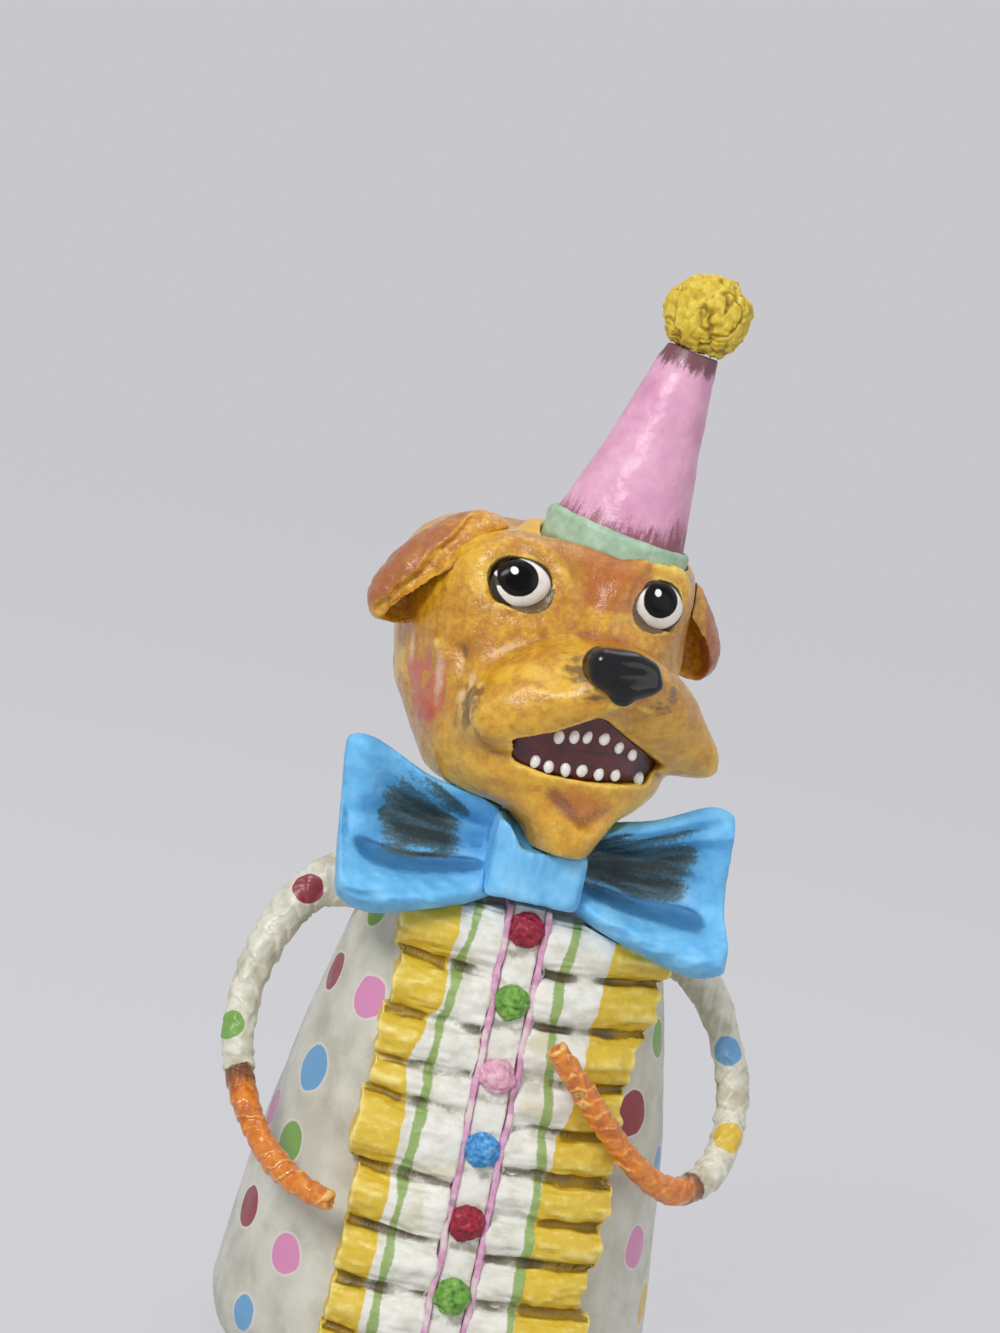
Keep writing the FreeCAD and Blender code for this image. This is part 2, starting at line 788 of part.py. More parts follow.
def make_hat(place):
    """The hat's pieces, and the round seat that they sink into in the crown of the head."""
    skirt = -cell("hat_skirt")
    wall = cell("hat_wall")
    band_top = cell("band_upper")
    seat = hat_body(
        "hat_seat",
        place,
        [(NOTHING, skirt), (cell("band_radius"), skirt), (cell("band_radius"), FAR), (NOTHING, FAR)],
    )
    cone_form = hat_body(
        "hat_form",
        place,
        [
            (NOTHING, skirt),
            (cell("hat_base_radius"), skirt),
            (cell("hat_base_radius"), NOTHING),
            (cell("hat_waist_radius"), cell("hat_waist_rise")),
            (cell("hat_top_radius"), cell("hat_height")),
            (NOTHING, cell("hat_height")),
        ],
    )
    inside = hat_body(
        "hat_inside",
        place,
        [
            (NOTHING, skirt),
            (cell("hat_base_radius") - wall, skirt),
            (cell("hat_base_radius") - wall, NOTHING),
            (cell("hat_waist_radius") - wall, cell("hat_waist_rise")),
            (cell("hat_top_radius") - wall, cell("hat_height") - wall),
            (NOTHING, cell("hat_height") - wall),
        ],
    )
    band_form = hat_body(
        "band_form",
        place,
        [
            (NOTHING, skirt),
            (cell("band_radius"), skirt),
            (cell("band_radius"), band_top - cell("band_round")),
            (cell("band_radius") - cell("band_round"), band_top),
            (NOTHING, band_top),
        ],
        {2: cell("band_round")},
    )
    cone = less("hat_cone", cone_form, inside)
    band = less("hat_band", band_form, cone_form)
    radius = cell("pompom_radius")
    rise = mm("hat_height") + mm("pompom_radius") - mm("pompom_sink")
    ball_place = place * Placement(Vector(0, 0, rise), Rotation())
    pompom = less("hat_pompom", ellipsoid("pompom_ball", radius, radius, radius, ball_place), cone_form)
    return seat, [cone, band, pompom]


# Bow tie


def leaning(shape):
    """The shape sheared to one side about the bow's middle height."""
    shear = FreeCAD.Matrix()
    shear.A13 = BOW_LEAN_SHARE
    shear.A14 = -BOW_LEAN_SHARE * mm("bow_rise")
    return shape.transformGeometry(shear)


def wing_section(side, span, height, lift, back):
    x = side * span * mm("bow_half_span") - mm("bow_side")
    middle = mm("bow_rise") + lift * mm("bow_height")
    depth_share = KNOT_DEPTH_SHARE + (1 - KNOT_DEPTH_SHARE) * span
    points = []
    for depth, up in BOW_OUTLINE_SHARES:
        y = -mm("bow_back") - (depth * depth_share - back) * mm("bow_depth")
        points.append(Vector(x, y, middle + up * height * mm("bow_height")))
    return closed_curve(points)


def make_bow(form, face):
    pieces = []
    knot_body, sketch = body_with_outline(
        "knot_block",
        "XZ_Plane",
        [
            (-cell("knot_half_width"), cell("bow_rise") - cell("knot_half_height")),
            (cell("knot_half_width"), cell("bow_rise") - cell("knot_half_height")),
            (cell("knot_half_width"), cell("bow_rise") + cell("knot_half_height")),
            (-cell("knot_half_width"), cell("bow_rise") + cell("knot_half_height")),
        ],
        {},
    )
    pad = knot_body.newObject("PartDesign::Pad", "knot_pad")
    pad.Profile = sketch
    pad.setExpression("Length", cell("knot_thick").formula)
    knot_body.Tip = pad
    doc.recompute()
    front = mm("knot_thick")
    rounded_edges(knot_body, "knot_rounds", lambda edge: edge.BoundBox.YMax < -front / 2, cell("knot_round"))
    knot_body.Placement = Placement(Vector(-mm("bow_side"), -mm("bow_back"), 0), Rotation())
    pieces.append(less("bow_knot", knot_body, form, face))
    for side, word in BOTH_SIDES:
        sections = [wing_section(side, *shares) for shares in BOW_SECTION_SHARES]
        wing = shaped(f"wing_{word}_cloth", leaning(Part.makeLoft(sections, True, False)))
        pieces.append(less(f"bow_wing_{word}", wing, knot_body, form, face))
    return pieces


# Arms


def arm_route(form, side, shares, drop):
    """Points along an arm, each given by its angle round the body, gap to the body and drop."""
    points = []
    for degrees, gap, fall in shares:
        height = mm("arm_shoulder_rise") - fall * drop
        reach = body_radius(form, height) + gap * mm("arm_gap")
        angle = math.radians(degrees)
        points.append(Vector(side * reach * math.cos(angle), -reach * math.sin(angle), height))
    return points


def directions(points):
    """The way the route runs at each of its points."""
    padded = [points[0] * 2 - points[1], *points, points[-1] * 2 - points[-2]]
    return [(after - before).normalize() for before, after in zip(padded, padded[2:])]


def tube(points, radii, first=0, last=None):
    """A round tube through part of the route, with a circle square to it at each point."""
    turn = Rotation()
    heading = Vector(0, 0, 1)
    circles = []
    for point, way, radius in zip(points, directions(points), radii):
        turn = Rotation(heading, way) * turn
        heading = way
        circle = Part.Wire(Part.makeCircle(radius))
        circle.Placement = Placement(point, turn)
        circles.append(circle)
    return Part.makeLoft(circles[first:last], True, False)


def make_arm(form, side, word, shares, drop, cuff):
    """A wire core, the sleeve wrapped over its upper part, and the paw wrapped over the rest."""
    route = arm_route(form, side, shares, mm(drop))
    root = route[0]
    anchor = Vector(root.x - side * mm("wire_anchor"), root.y, root.z)
    wire_points = [anchor, *route]
    wire = shaped(f"arm_wire_{word}", tube(wire_points, [mm("wire_radius")] * len(wire_points), 0, -1))
    cuff_radius = mm("cuff_radius")
    sleeve_radii = []
    for number in range(len(route)):
        share = max(0.0, 1 - number / cuff)
        swell = SHOULDER_SWELL_SHARES[min(number, len(SHOULDER_SWELL_SHARES) - 1)]
        sleeve_radii.append((cuff_radius + share * (mm("sleeve_radius") - cuff_radius)) * swell)
    sleeve_form = shaped(f"sleeve_{word}_form", tube(route, sleeve_radii, 0, cuff + 1))
    tip = len(route) - 1
    paw_radii = []
    for number in range(len(route)):
        share = max(0.0, (number - cuff) / (tip - cuff))
        paw_radii.append(mm("paw_radius") + share * (mm("paw_tip_radius") - mm("paw_radius")))
    paw_form = shaped(f"paw_{word}_form", tube(route, paw_radii, cuff, None))
    sleeve = less(f"sleeve_{word}", sleeve_form, wire, form)
    paw = less(f"paw_{word}", paw_form, wire)
    return wire, [sleeve, paw]


# Assembly


def make_figure():
    form = make_body_form()
    pieces = make_base()
    right_wire, right_arm = make_arm(form, -1, "right", RIGHT_ARM_SHARES, "right_arm_drop", RIGHT_CUFF_POINT)
    left_wire, left_arm = make_arm(form, 1, "left", LEFT_ARM_SHARES, "left_arm_drop", LEFT_CUFF_POINT)
    pieces += [right_wire, left_wire, *right_arm, *left_arm]

    peg = cylinder("neck_dowel", cell("peg_radius"), cell("peg_bottom_rise"), cell("peg_top_rise"))
    bore_radius = cell("peg_radius") + cell("peg_clearance")
    bore = cylinder("peg_bore", bore_radius, cell("peg_bottom_rise"), cell("peg_top_rise"))
    pieces.append(peg)
    pieces.append(less("body_shell", form, make_hollow(), bore, right_wire, left_wire))

    place = head_placement()
    face = shaped("face_form", make_skull().fuse(make_muzzle()), place)
    knot, right_wing, left_wing = make_bow(form, face)
    pieces += [knot, right_wing, left_wing]

    placket, pipings = make_placket(form)
    pieces += [placket, *pipings]
    front = turned("front_form", *front_outline(NOTHING))
    pieces.append(make_ruffle(form, front, right_wing, -1, "ruffle_right", RIGHT_PLEAT_SHARES))
    pieces.append(make_ruffle(form, front, left_wing, 1, "ruffle_left", LEFT_PLEAT_SHARES))
    pieces += make_buttons(form, placket, pipings)

    block = mouth_block(place)
    lining = combined("Common", "mouth_lining", block, lining_round(place))
    eyes = [make_eye(face, place, side, f"eye_{word}") for side, word in BOTH_SIDES]
    hollow = make_head_hollow(place)
    hat_seat, hat = make_hat(hat_placement(place))
    pieces.append(less("head_shell", face, form, bore, hollow, block, hat_seat, *eyes))
    pieces += [lining, *eyes]
    pieces.append(make_teeth("upper_teeth", lining, place, UPPER_TOOTH_SHARES))
    pieces.append(make_teeth("lower_teeth", lining, place, LOWER_TOOTH_SHARES))
    pieces.append(make_nose(face, place))
    pieces += [make_ear(face, hat_seat, place, side, f"ear_{word}") for side, word in BOTH_SIDES]
    pieces += hat
    return pieces


def write(pieces):
    """Checks every object, then writes one file for each piece."""
    failed = [thing.Name for thing in doc.Objects if "Invalid" in thing.State or "Error" in thing.State]
    for piece in pieces:
        piece.Label = piece.Name
        if piece.Shape.isNull() or not piece.Shape.isValid() or not piece.Shape.Solids:
            failed.append(piece.Name)
    if failed:
        raise RuntimeError(f"not built: {failed}")
    os.makedirs("parts", exist_ok=True)
    for piece in pieces:
        piece.Shape.exportStep(f"parts/{piece.Label}.step")
        print(f"{piece.Label}: {len(piece.Shape.Solids)} solid, {piece.Shape.Volume:.1f} mm3")


write(make_figure())
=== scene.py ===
"""Painted chalkware dog in a party hat and clown dress: clay-like surfaces, hand-painted finishes and studio."""

import math

import bmesh
import bpy
import numpy as np
from mathutils import Matrix, Vector


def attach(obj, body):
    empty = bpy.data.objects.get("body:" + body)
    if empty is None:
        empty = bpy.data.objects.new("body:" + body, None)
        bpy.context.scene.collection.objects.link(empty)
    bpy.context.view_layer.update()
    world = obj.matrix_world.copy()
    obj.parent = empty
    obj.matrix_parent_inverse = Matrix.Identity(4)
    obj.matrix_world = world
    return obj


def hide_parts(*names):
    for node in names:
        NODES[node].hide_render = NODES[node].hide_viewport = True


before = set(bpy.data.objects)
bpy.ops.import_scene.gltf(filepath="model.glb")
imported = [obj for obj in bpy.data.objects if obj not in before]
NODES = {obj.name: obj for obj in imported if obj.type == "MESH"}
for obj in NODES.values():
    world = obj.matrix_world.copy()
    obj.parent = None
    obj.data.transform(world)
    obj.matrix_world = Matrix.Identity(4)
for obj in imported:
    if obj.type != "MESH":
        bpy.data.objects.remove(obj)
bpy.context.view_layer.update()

MM = 0.001

# The head's own frame and the hat's, as the casting has them: where each starts, its turn and its lean.
HEAD_CENTRE = np.array([-9.0, -5.8, 163.4])
HEAD_TURN, HEAD_LEAN = 16.1, -1.8
HAT_CENTRE = np.array([9.9, -6.0, 9.8])
HAT_LEAN, HAT_BACK = 10.0, -4.0

# Holes in the casting that nobody sees, each as radius, lower end and upper end.
POURING_HOLE = (30.3, 1.5, 6.5)
PEG_HOLE_IN_BODY = (4.4, 100, 126.9)
PEG_HOLE_IN_HEAD = (4.5, 126.4, 136)

# The shirt front's step to the figure's right, and its buttons.
FRONT_SIDE = -1.7
TOP_BUTTON, BUTTON_PITCH = 97.8, 13.9
BUTTON_COUNT = 7

# The bow's middle, its knot's height, the reach of a wing and the wall that its well leaves.
BOW_SIDE, KNOT_HEIGHT = -2.4, 110.0
WING_REACH, WING_WALL = 60, 1.1


def paint(red, green, blue):
    """A paint's colour, from its 8-bit screen values."""
    values = np.array([red, green, blue]) / 255
    return tuple(np.where(values <= 0.04045, values / 12.92, ((values + 0.055) / 1.055) ** 2.4))


# Shapes


def turn_about(axis, degrees):
    return np.array(Matrix.Rotation(math.radians(degrees), 3, axis))


HEAD_AXES = turn_about("Z", HEAD_TURN) @ turn_about("Y", HEAD_LEAN)
HAT_AXES = HEAD_AXES @ turn_about("Y", HAT_LEAN) @ turn_about("X", -HAT_BACK)
HAT_ORIGIN = HEAD_CENTRE + HEAD_AXES @ HAT_CENTRE


def on_head(points):
    """Points in the head's own frame: side, back and up from between the eyes."""
    return (points - HEAD_CENTRE) @ HEAD_AXES


def on_hat(points):
    return (points - HAT_ORIGIN) @ HAT_AXES


def cell_values(cells, seed):
    """A repeatable value from -1 to 1 for each whole-numbered cell."""
    x, y, z = ((cells[:, k] + 2**20).astype(np.uint64) for k in range(3))
    mixed = x * np.uint64(73856093) ^ y * np.uint64(19349663) ^ z * np.uint64(83492791)
    mixed ^= np.uint64(seed * 2654435761 % 2**32)
    mixed = (mixed ^ (mixed >> np.uint64(13))) * np.uint64(1274126177) & np.uint64(2**32 - 1)
    mixed = (mixed ^ (mixed >> np.uint64(16))) * np.uint64(2246822519) & np.uint64(2**32 - 1)
    return (mixed >> np.uint64(8)).astype(float) / 2**23 - 1


def cloud(points, size, seed, octaves=1):
    """Soft unevenness from -1 to 1, with lumps of that size in millimetres."""
    size = np.asarray(size, float)
    total = np.zeros(len(points))
    weight, weights = 1.0, 0.0
    for octave in range(octaves):
        place = points / size
        low = np.floor(place)
        share = place - low
        share = share * share * (3 - 2 * share)
        for corner in np.ndindex(2, 2, 2):
            corner = np.array(corner)
            near = np.prod(np.where(corner, share, 1 - share), axis=1)
            total += weight * near * cell_values(low.astype(np.int64) + corner, seed + 31 * octave)
        weights += weight
        weight /= 2
        size = size / 2
    return total / weights


def ease(values, low, high):
    """0 below low, 1 above high, smooth between."""
    share = np.clip((values - low) / (high - low), 0, 1)
    return share * share * (3 - 2 * share)


def bump_at(points, centre, reach):
    """1 at the centre, fading to 0 over the reach, which may differ by axis."""
    away = (points - np.asarray(centre, float)) / np.asarray(reach, float)
    return np.exp(-np.sum(away * away, axis=1))


def line_distance(points, line):
    """How far each point is from a broken line."""
    line = np.asarray(line, float)
    best = np.full(len(points), np.inf)
    for start, end in zip(line, line[1:]):
        way = end - start
        share = np.clip((points - start) @ way / (way @ way), 0, 1)
        best = np.minimum(best, np.linalg.norm(points - start - share[:, None] * way, axis=1))
    return best


def rolled_out(angle, reach, along):
    """Places on a roll of that reach, so that a cloud closes on itself round it."""
    return np.stack([np.cos(angle) * reach, np.sin(angle) * reach, along], 1)


class Clay:
    """A piece being worked: its points in millimetres and the edges between them."""

    def __init__(self, name, mesh):
        self.piece = bpy.data.objects.new(name, mesh)
        bpy.context.scene.collection.objects.link(self.piece)
        self.read()

    def read(self):
        mesh = self.piece.data
        flat = np.empty(len(mesh.vertices) * 3)
        mesh.vertices.foreach_get("co", flat)
        self.points = flat.reshape(-1, 3) / MM
        ends = np.empty(len(mesh.edges) * 2, np.int32)
        mesh.edges.foreach_get("vertices", ends)
        self.edges = ends.reshape(-1, 2)
        self.links = np.maximum(np.bincount(ends, minlength=len(self.points)), 1)

    def write(self):
        self.piece.data.vertices.foreach_set("co", (self.points * MM).ravel())
        self.piece.data.update()

    def remeshed(self, voxel):
        """Rebuilds the skin from even cells of that size."""
        modifier = self.piece.modifiers.new("skin", "REMESH")
        modifier.mode = "VOXEL"
        modifier.voxel_size = voxel * MM
        graph = bpy.context.evaluated_depsgraph_get()
        mesh = bpy.data.meshes.new_from_object(self.piece.evaluated_get(graph))
        self.piece.modifiers.clear()
        old = self.piece.data
        self.piece.data = mesh
        bpy.data.meshes.remove(old)
        mesh.name = self.piece.name
        self.read()
        return self

    def keep_outer_skin(self):
        """Drops every closed skin but the largest, so hollows that nobody sees go."""
        label = np.arange(len(self.points))
        a, b = self.edges.T
        while True:
            low = np.minimum(label[a], label[b])
            new = label.copy()
            np.minimum.at(new, a, low)
            np.minimum.at(new, b, low)
            new = new[new]
            if (new == label).all():
                break
            label = new
        kept = np.bincount(label).argmax()
        form = bmesh.new()
        form.from_mesh(self.piece.data)
        inner = [vert for vert, own in zip(form.verts, label) if own != kept]
        bmesh.ops.delete(form, geom=inner, context="VERTS")
        form.to_mesh(self.piece.data)
        form.free()
        self.read()

    def averaged(self, values):
        """Each point's mean of its neighbours' values."""
        a, b = self.edges.T
        count = len(self.points)
        total = np.bincount(a, values[b], count) + np.bincount(b, values[a], count)
        return total / self.links

    def relax(self, rounds, share=0.5, where=None):
        weight = share if where is None else share * where[:, None]
        for _ in range(rounds):
            mean = np.stack([self.averaged(self.points[:, k]) for k in range(3)], 1)
            self.points += (mean - self.points) * weight
        return self

    def polish(self, rounds, where=None):
        """Smooths without shrinking."""
        for _ in range(rounds):
            self.relax(1, 0.5, where)
            self.relax(1, -0.52, where)
        return self

    def normals(self):
        self.write()
        flat = np.empty(len(self.points) * 3)
        self.piece.data.vertices.foreach_get("normal", flat)
        return flat.reshape(-1, 3)

    def push(self, amount):
        """Moves each point out along its normal."""
        self.points += self.normals() * amount[:, None]

    def hollows(self, rounds):
        """How deep each point lies below its surroundings, in millimetres."""
        mean = self.points.copy()
        for _ in range(rounds):
            mean = (mean + np.stack([self.averaged(mean[:, k]) for k in range(3)], 1)) / 2
        return np.sum((mean - self.points) * self.normals(), axis=1)

    def mask(self, name, values):
        attribute = self.piece.data.attributes.new(name, "FLOAT", "POINT")
        attribute.data.foreach_set("value", np.asarray(values, np.float32))

    def tint(self, name, colours):
        attribute = self.piece.data.attributes.new(name, "FLOAT_COLOR", "POINT")
        full = np.ones((len(self.points), 4), np.float32)
        full[:, :3] = colours
        attribute.data.foreach_set("color", full.ravel())

    def done(self, finish, *nodes, slot):
        self.write()
        mesh = self.piece.data
        mesh.materials.clear()
        mesh.materials.append(finish)
        mesh.shade_smooth()
        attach(self.piece, "root")
        if nodes:
            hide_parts(*nodes)


MERGE = 1e-6


def swung(points, share):
    """Turns points round the body's axis by the shirt front's side step, as far as their share says."""
    reach = np.hypot(points[:, 0], points[:, 1])
    angle = np.arctan2(points[:, 0], -points[:, 1]) + FRONT_SIDE * share / reach
    points[:, 0], points[:, 1] = reach * np.sin(angle), -reach * np.cos(angle)


def taken_from(name, *nodes, voxel, plugs=()):
    """A worked copy of CAD nodes, with upright plugs of (radius, low, high) that close holes nobody sees."""
    whole = bmesh.new()
    for node in nodes:
        part = bmesh.new()
        part.from_mesh(NODES[node].data)
        bmesh.ops.remove_doubles(part, verts=part.verts, dist=MERGE)
        mesh = bpy.data.meshes.new("part")
        part.to_mesh(mesh)
        part.free()
        whole.from_mesh(mesh)
        bpy.data.meshes.remove(mesh)
    for radius, low, high in plugs:
        middle = Matrix.Translation((0, 0, (low + high) / 2 * MM))
        bmesh.ops.create_cone(whole, cap_ends=True, segments=32, radius1=radius * MM, radius2=radius * MM,
                              depth=(high - low) * MM, matrix=middle)
    mesh = bpy.data.meshes.new(name)
    whole.to_mesh(mesh)
    whole.free()
    clay = Clay(name, mesh).remeshed(voxel)
    if plugs:
        clay.keep_outer_skin()
    return clay.polish(3)


# Finishes


class Finish:
    """A painted surface: a mottled ground, layers of paint over it, and the skin's gloss and grain."""

    def __init__(self, name, ground, mottle=4.0, seed=0.0):
        self.material = bpy.data.materials.new(name)
        self.material.use_nodes = True
        self.tree = self.material.node_tree
        self.tree.nodes.clear()
        self.output = self.tree.nodes.new("ShaderNodeOutputMaterial")
        self.shader = self.tree.nodes.new("ShaderNodeBsdfPrincipled")
        self.tree.links.new(self.shader.outputs[0], self.output.inputs[0])
        self.place = self.tree.nodes.new("ShaderNodeTexCoord").outputs["Object"]
        self.seed = seed
        dark, middle, light = ground
        self.colour = self.ramp(self.noise(mottle, 5, 0.6), ((0.3, dark), (0.5, middle), (0.7, light)))

    def noise(self, size, detail=3.0, rough=0.55):
        """Noise with lumps of that size in millimetres."""
        self.seed += 1.7
        node = self.tree.nodes.new("ShaderNodeTexNoise")
        node.noise_dimensions = "4D"
        node.inputs["Scale"].default_value = 1 / (size * MM)
        node.inputs["Detail"].default_value = detail
        node.inputs["Roughness"].default_value = rough
        node.inputs["W"].default_value = self.seed
        self.tree.links.new(self.place, node.inputs["Vector"])
        return node.outputs["Fac"]

    def ramp(self, share, stops):
        node = self.tree.nodes.new("ShaderNodeValToRGB")
        elements = node.color_ramp.elements
        while len(elements) < len(stops):
            elements.new(1)
        for element, (position, colour) in zip(elements, stops):
            element.position = position
            element.color = (*colour, 1)
        self.tree.links.new(share, node.inputs["Fac"])
        return node.outputs["Color"]

    def maths(self, kind, first, second):
        node = self.tree.nodes.new("ShaderNodeMath")
        node.operation = kind
        for socket, value in zip(node.inputs, (first, second)):
            if isinstance(value, (int, float)):
                socket.default_value = value
            else:
                self.tree.links.new(value, socket)
        return node.outputs[0]

    def mapped(self, value, low, high, start=0.0, end=1.0):
        node = self.tree.nodes.new("ShaderNodeMapRange")
        node.interpolation_type = "SMOOTHSTEP"
        self.tree.links.new(value, node.inputs["Value"])
        for name, number in (("From Min", low), ("From Max", high), ("To Min", start), ("To Max", end)):
            node.inputs[name].default_value = number
        return node.outputs["Result"]

    def attribute(self, name, colour=False):
        node = self.tree.nodes.new("ShaderNodeAttribute")
        node.attribute_name = name
        return node.outputs["Color" if colour else "Fac"]

    def layer(self, mask, colour, low, high, grain=1.0, ragged=0.0, strength=1.0):
        """Paint where the piece's mask, made ragged by a grain of that size, passes from low to high."""
        value = None if mask is None else self.attribute(mask)
        if ragged:
            rough = self.maths("MULTIPLY", self.maths("SUBTRACT", self.noise(grain, 4, 0.65), 0.5), ragged)
            value = rough if value is None else self.maths("ADD", value, rough)
        share = self.mapped(value, low, high, 0.0, strength)
        node = self.tree.nodes.new("ShaderNodeMix")
        node.data_type = "RGBA"
        self.tree.links.new(share, node.inputs["Factor"])
        self.tree.links.new(self.colour, node.inputs["A"])
        if isinstance(colour, str):
            self.tree.links.new(self.attribute(colour, True), node.inputs["B"])
        else:
            node.inputs["B"].default_value = (*colour, 1)
        self.colour = node.outputs["Result"]

    def skin(self, rough=(0.4, 0.6), patch=3.0, coat=0.0, coat_rough=0.1, grain=(0.6, 0.1), dents=(4.0, 0.2)):
        """Gloss that varies in patches, a varnish coat, and relief of (size, height) in millimetres."""
        tree = self.tree
        tree.links.new(self.colour, self.shader.inputs["Base Color"])
        shine = self.mapped(self.noise(patch, 4), 0.3, 0.7, rough[0], rough[1])
        tree.links.new(shine, self.shader.inputs["Roughness"])
        if coat:
            self.shader.inputs["Coat Weight"].default_value = coat
            self.shader.inputs["Coat Roughness"].default_value = coat_rough
        normal = None
        for size, height in (dents, grain):
            node = tree.nodes.new("ShaderNodeBump")
            node.inputs["Strength"].default_value = 1.0
            node.inputs["Distance"].default_value = height * MM
            tree.links.new(self.noise(size, 4, 0.6), node.inputs["Height"])
            if normal is not None:
                tree.links.new(normal, node.inputs["Normal"])
            normal = node.outputs["Normal"]
        tree.links.new(normal, self.shader.inputs["Normal"])
        if coat:
            tree.links.new(normal, self.shader.inputs["Coat Normal"])
        return self.material


# Paints

IVORY = (paint(176, 174, 158), paint(203, 201, 187), paint(218, 217, 206))
WHITE = (paint(208, 206, 192), paint(230, 229, 219), paint(242, 241, 235))
OLIVE = paint(92, 84, 52)
UMBER = paint(70, 52, 26)
CRIMSON = paint(138, 18, 48)
LEAF = paint(112, 160, 62)
ROSE = paint(214, 134, 180)
SKY = paint(96, 158, 206)
MUSTARD = paint(214, 178, 40)
BACKDROP = paint(200, 200, 204)
DOT_PAINTS = {"crimson": CRIMSON, "green": LEAF, "pink": ROSE, "blue": SKY, "yellow": MUSTARD}


def dotted(clay, dots, uneven=0.10, seed=5):
    """Marks the dots of (centre, radius, paint): depth inside the nearest dot's edge, and its colour."""
    depth = np.full(len(clay.points), -99.0)
    colours = np.zeros((len(clay.points), 3))
    wobble = cloud(clay.points, 3.0, seed, 2)
    for centre, radius, name in dots:
        away = np.linalg.norm(clay.points - np.asarray(centre, float), axis=1)
        inside = radius * (1 + uneven * wobble) - away
        nearer = inside > depth
        depth[nearer] = inside[nearer]
        colours[nearer] = DOT_PAINTS[name]
    clay.mask("dot", np.clip(depth, -5, 5))
    clay.tint("dot_paint", colours)


def dot_layers(finish, halo):
    finish.layer("dot", halo, -0.70, -0.35, grain=1.2, ragged=0.25, strength=0.55)
    finish.layer("dot", "dot_paint", -0.12, 0.12, grain=1.2, ragged=0.25, strength=0.96)


# Body


def body_dots(clay):
    """The dots that the picture shows, and more of them round the sides and the back."""
    seen = [(-67.5, 91.8, 3.3, "green"), (-79, 77.1, 4.0, "crimson"), (-51.7, 76.6, 4.2, "pink"),
            (-65, 59.3, 4.6, "blue"), (-84, 47, 3.9, "pink"), (-62.8, 44.2, 4.2, "green"),
            (66, 78.1, 3.8, "green"), (48.5, 65.0, 4.6, "crimson"), (72, 52, 4.2, "blue"),
            (57, 38, 4.2, "pink"), (-74, 28, 4.2, "crimson"), (-50, 25, 4.0, "pink"), (-60, 10, 3.6, "blue"),
            (72, 24, 4.2, "yellow"), (50, 12, 3.8, "green")]
    order = ["blue", "pink", "crimson", "green", "pink", "crimson", "green", "blue"]
    more = []
    for row, height in enumerate((93, 77, 61, 45, 29, 13)):
        for step in range(8):
            angle = 98 + step * 23.5 + 11.7 * (row % 2)
            if angle < 268:
                more.append((angle, height + 2.5 * math.sin(step * 2.3 + row), 4.0, order[(step * 3 + row) % 8]))
    dots = []
    reach = np.hypot(clay.points[:, 0], clay.points[:, 1])
    for angle, height, radius, name in seen + more:
        level = np.abs(clay.points[:, 2] - height) < 1.5
        out = np.median(reach[level])
        turned = math.radians(angle)
        dots.append(((out * math.sin(turned), -out * math.cos(turned), height), radius, name))
    dotted(clay, dots)


def make_body():
    clay = taken_from("body", "body_shell", voxel=0.8, plugs=(POURING_HOLE, PEG_HOLE_IN_BODY))
    points = clay.points
    raised = ease(points[:, 2], 2.0, 6.0) * (1 - ease(points[:, 2], 122, 126))
    clay.push(raised * (0.45 * cloud(points, (13, 13, 18), 3, 2) + 0.12 * cloud(points, 3.2, 4, 2)))
    clay.polish(1)
    body_dots(clay)
    # Painted shade: olive darkening in the hollows, under the arms and on the upper body.
    shade = ease(clay.points[:, 2], 84, 100)
    near_arm = np.maximum(*(bump_at(clay.points, (one * 27, -2, 93), (9, 12, 7)) for one in (-1, 1)))
    clay.mask("painted_shade", np.clip(0.45 * shade + 0.7 * near_arm + 0.9 * clay.hollows(14), 0, 1))
    clay.mask("wash", cloud(clay.points, (11, 11, 24), 6, 2))
    finish = Finish("painted_body", IVORY, mottle=9.0, seed=2)
    finish.layer("wash", paint(184, 181, 164), 0.1, 0.7, grain=2.5, ragged=0.5, strength=0.45)
    finish.layer("painted_shade", OLIVE, 0.50, 1.15, grain=1.4, ragged=0.7, strength=0.65)
    finish.layer(None, UMBER, 0.20, 0.26, grain=0.55, ragged=1.0, strength=0.35)
    dot_layers(finish, paint(226, 220, 212))
    clay.done(finish.skin(rough=(0.32, 0.52), coat=0.2, coat_rough=0.25, grain=(0.7, 0.05), dents=(5.0, 0.18)),
              "body_shell", slot="body_white")


# Shirt front


PLEAT_EDGES = {-1: (9.0, 16.9, 26.7, 37.4, 48.5, 62.0, 68.5, 77.4, 88.1, 100.6),
               1: (9.0, 18.3, 27.6, 36.4, 44.3, 52.7, 61.1, 70.4, 80.6, 90.4, 100.6)}


def pleat_number(heights, edges):
    return np.clip(np.searchsorted(np.asarray(edges), heights) - 1, 0, len(edges) - 2)


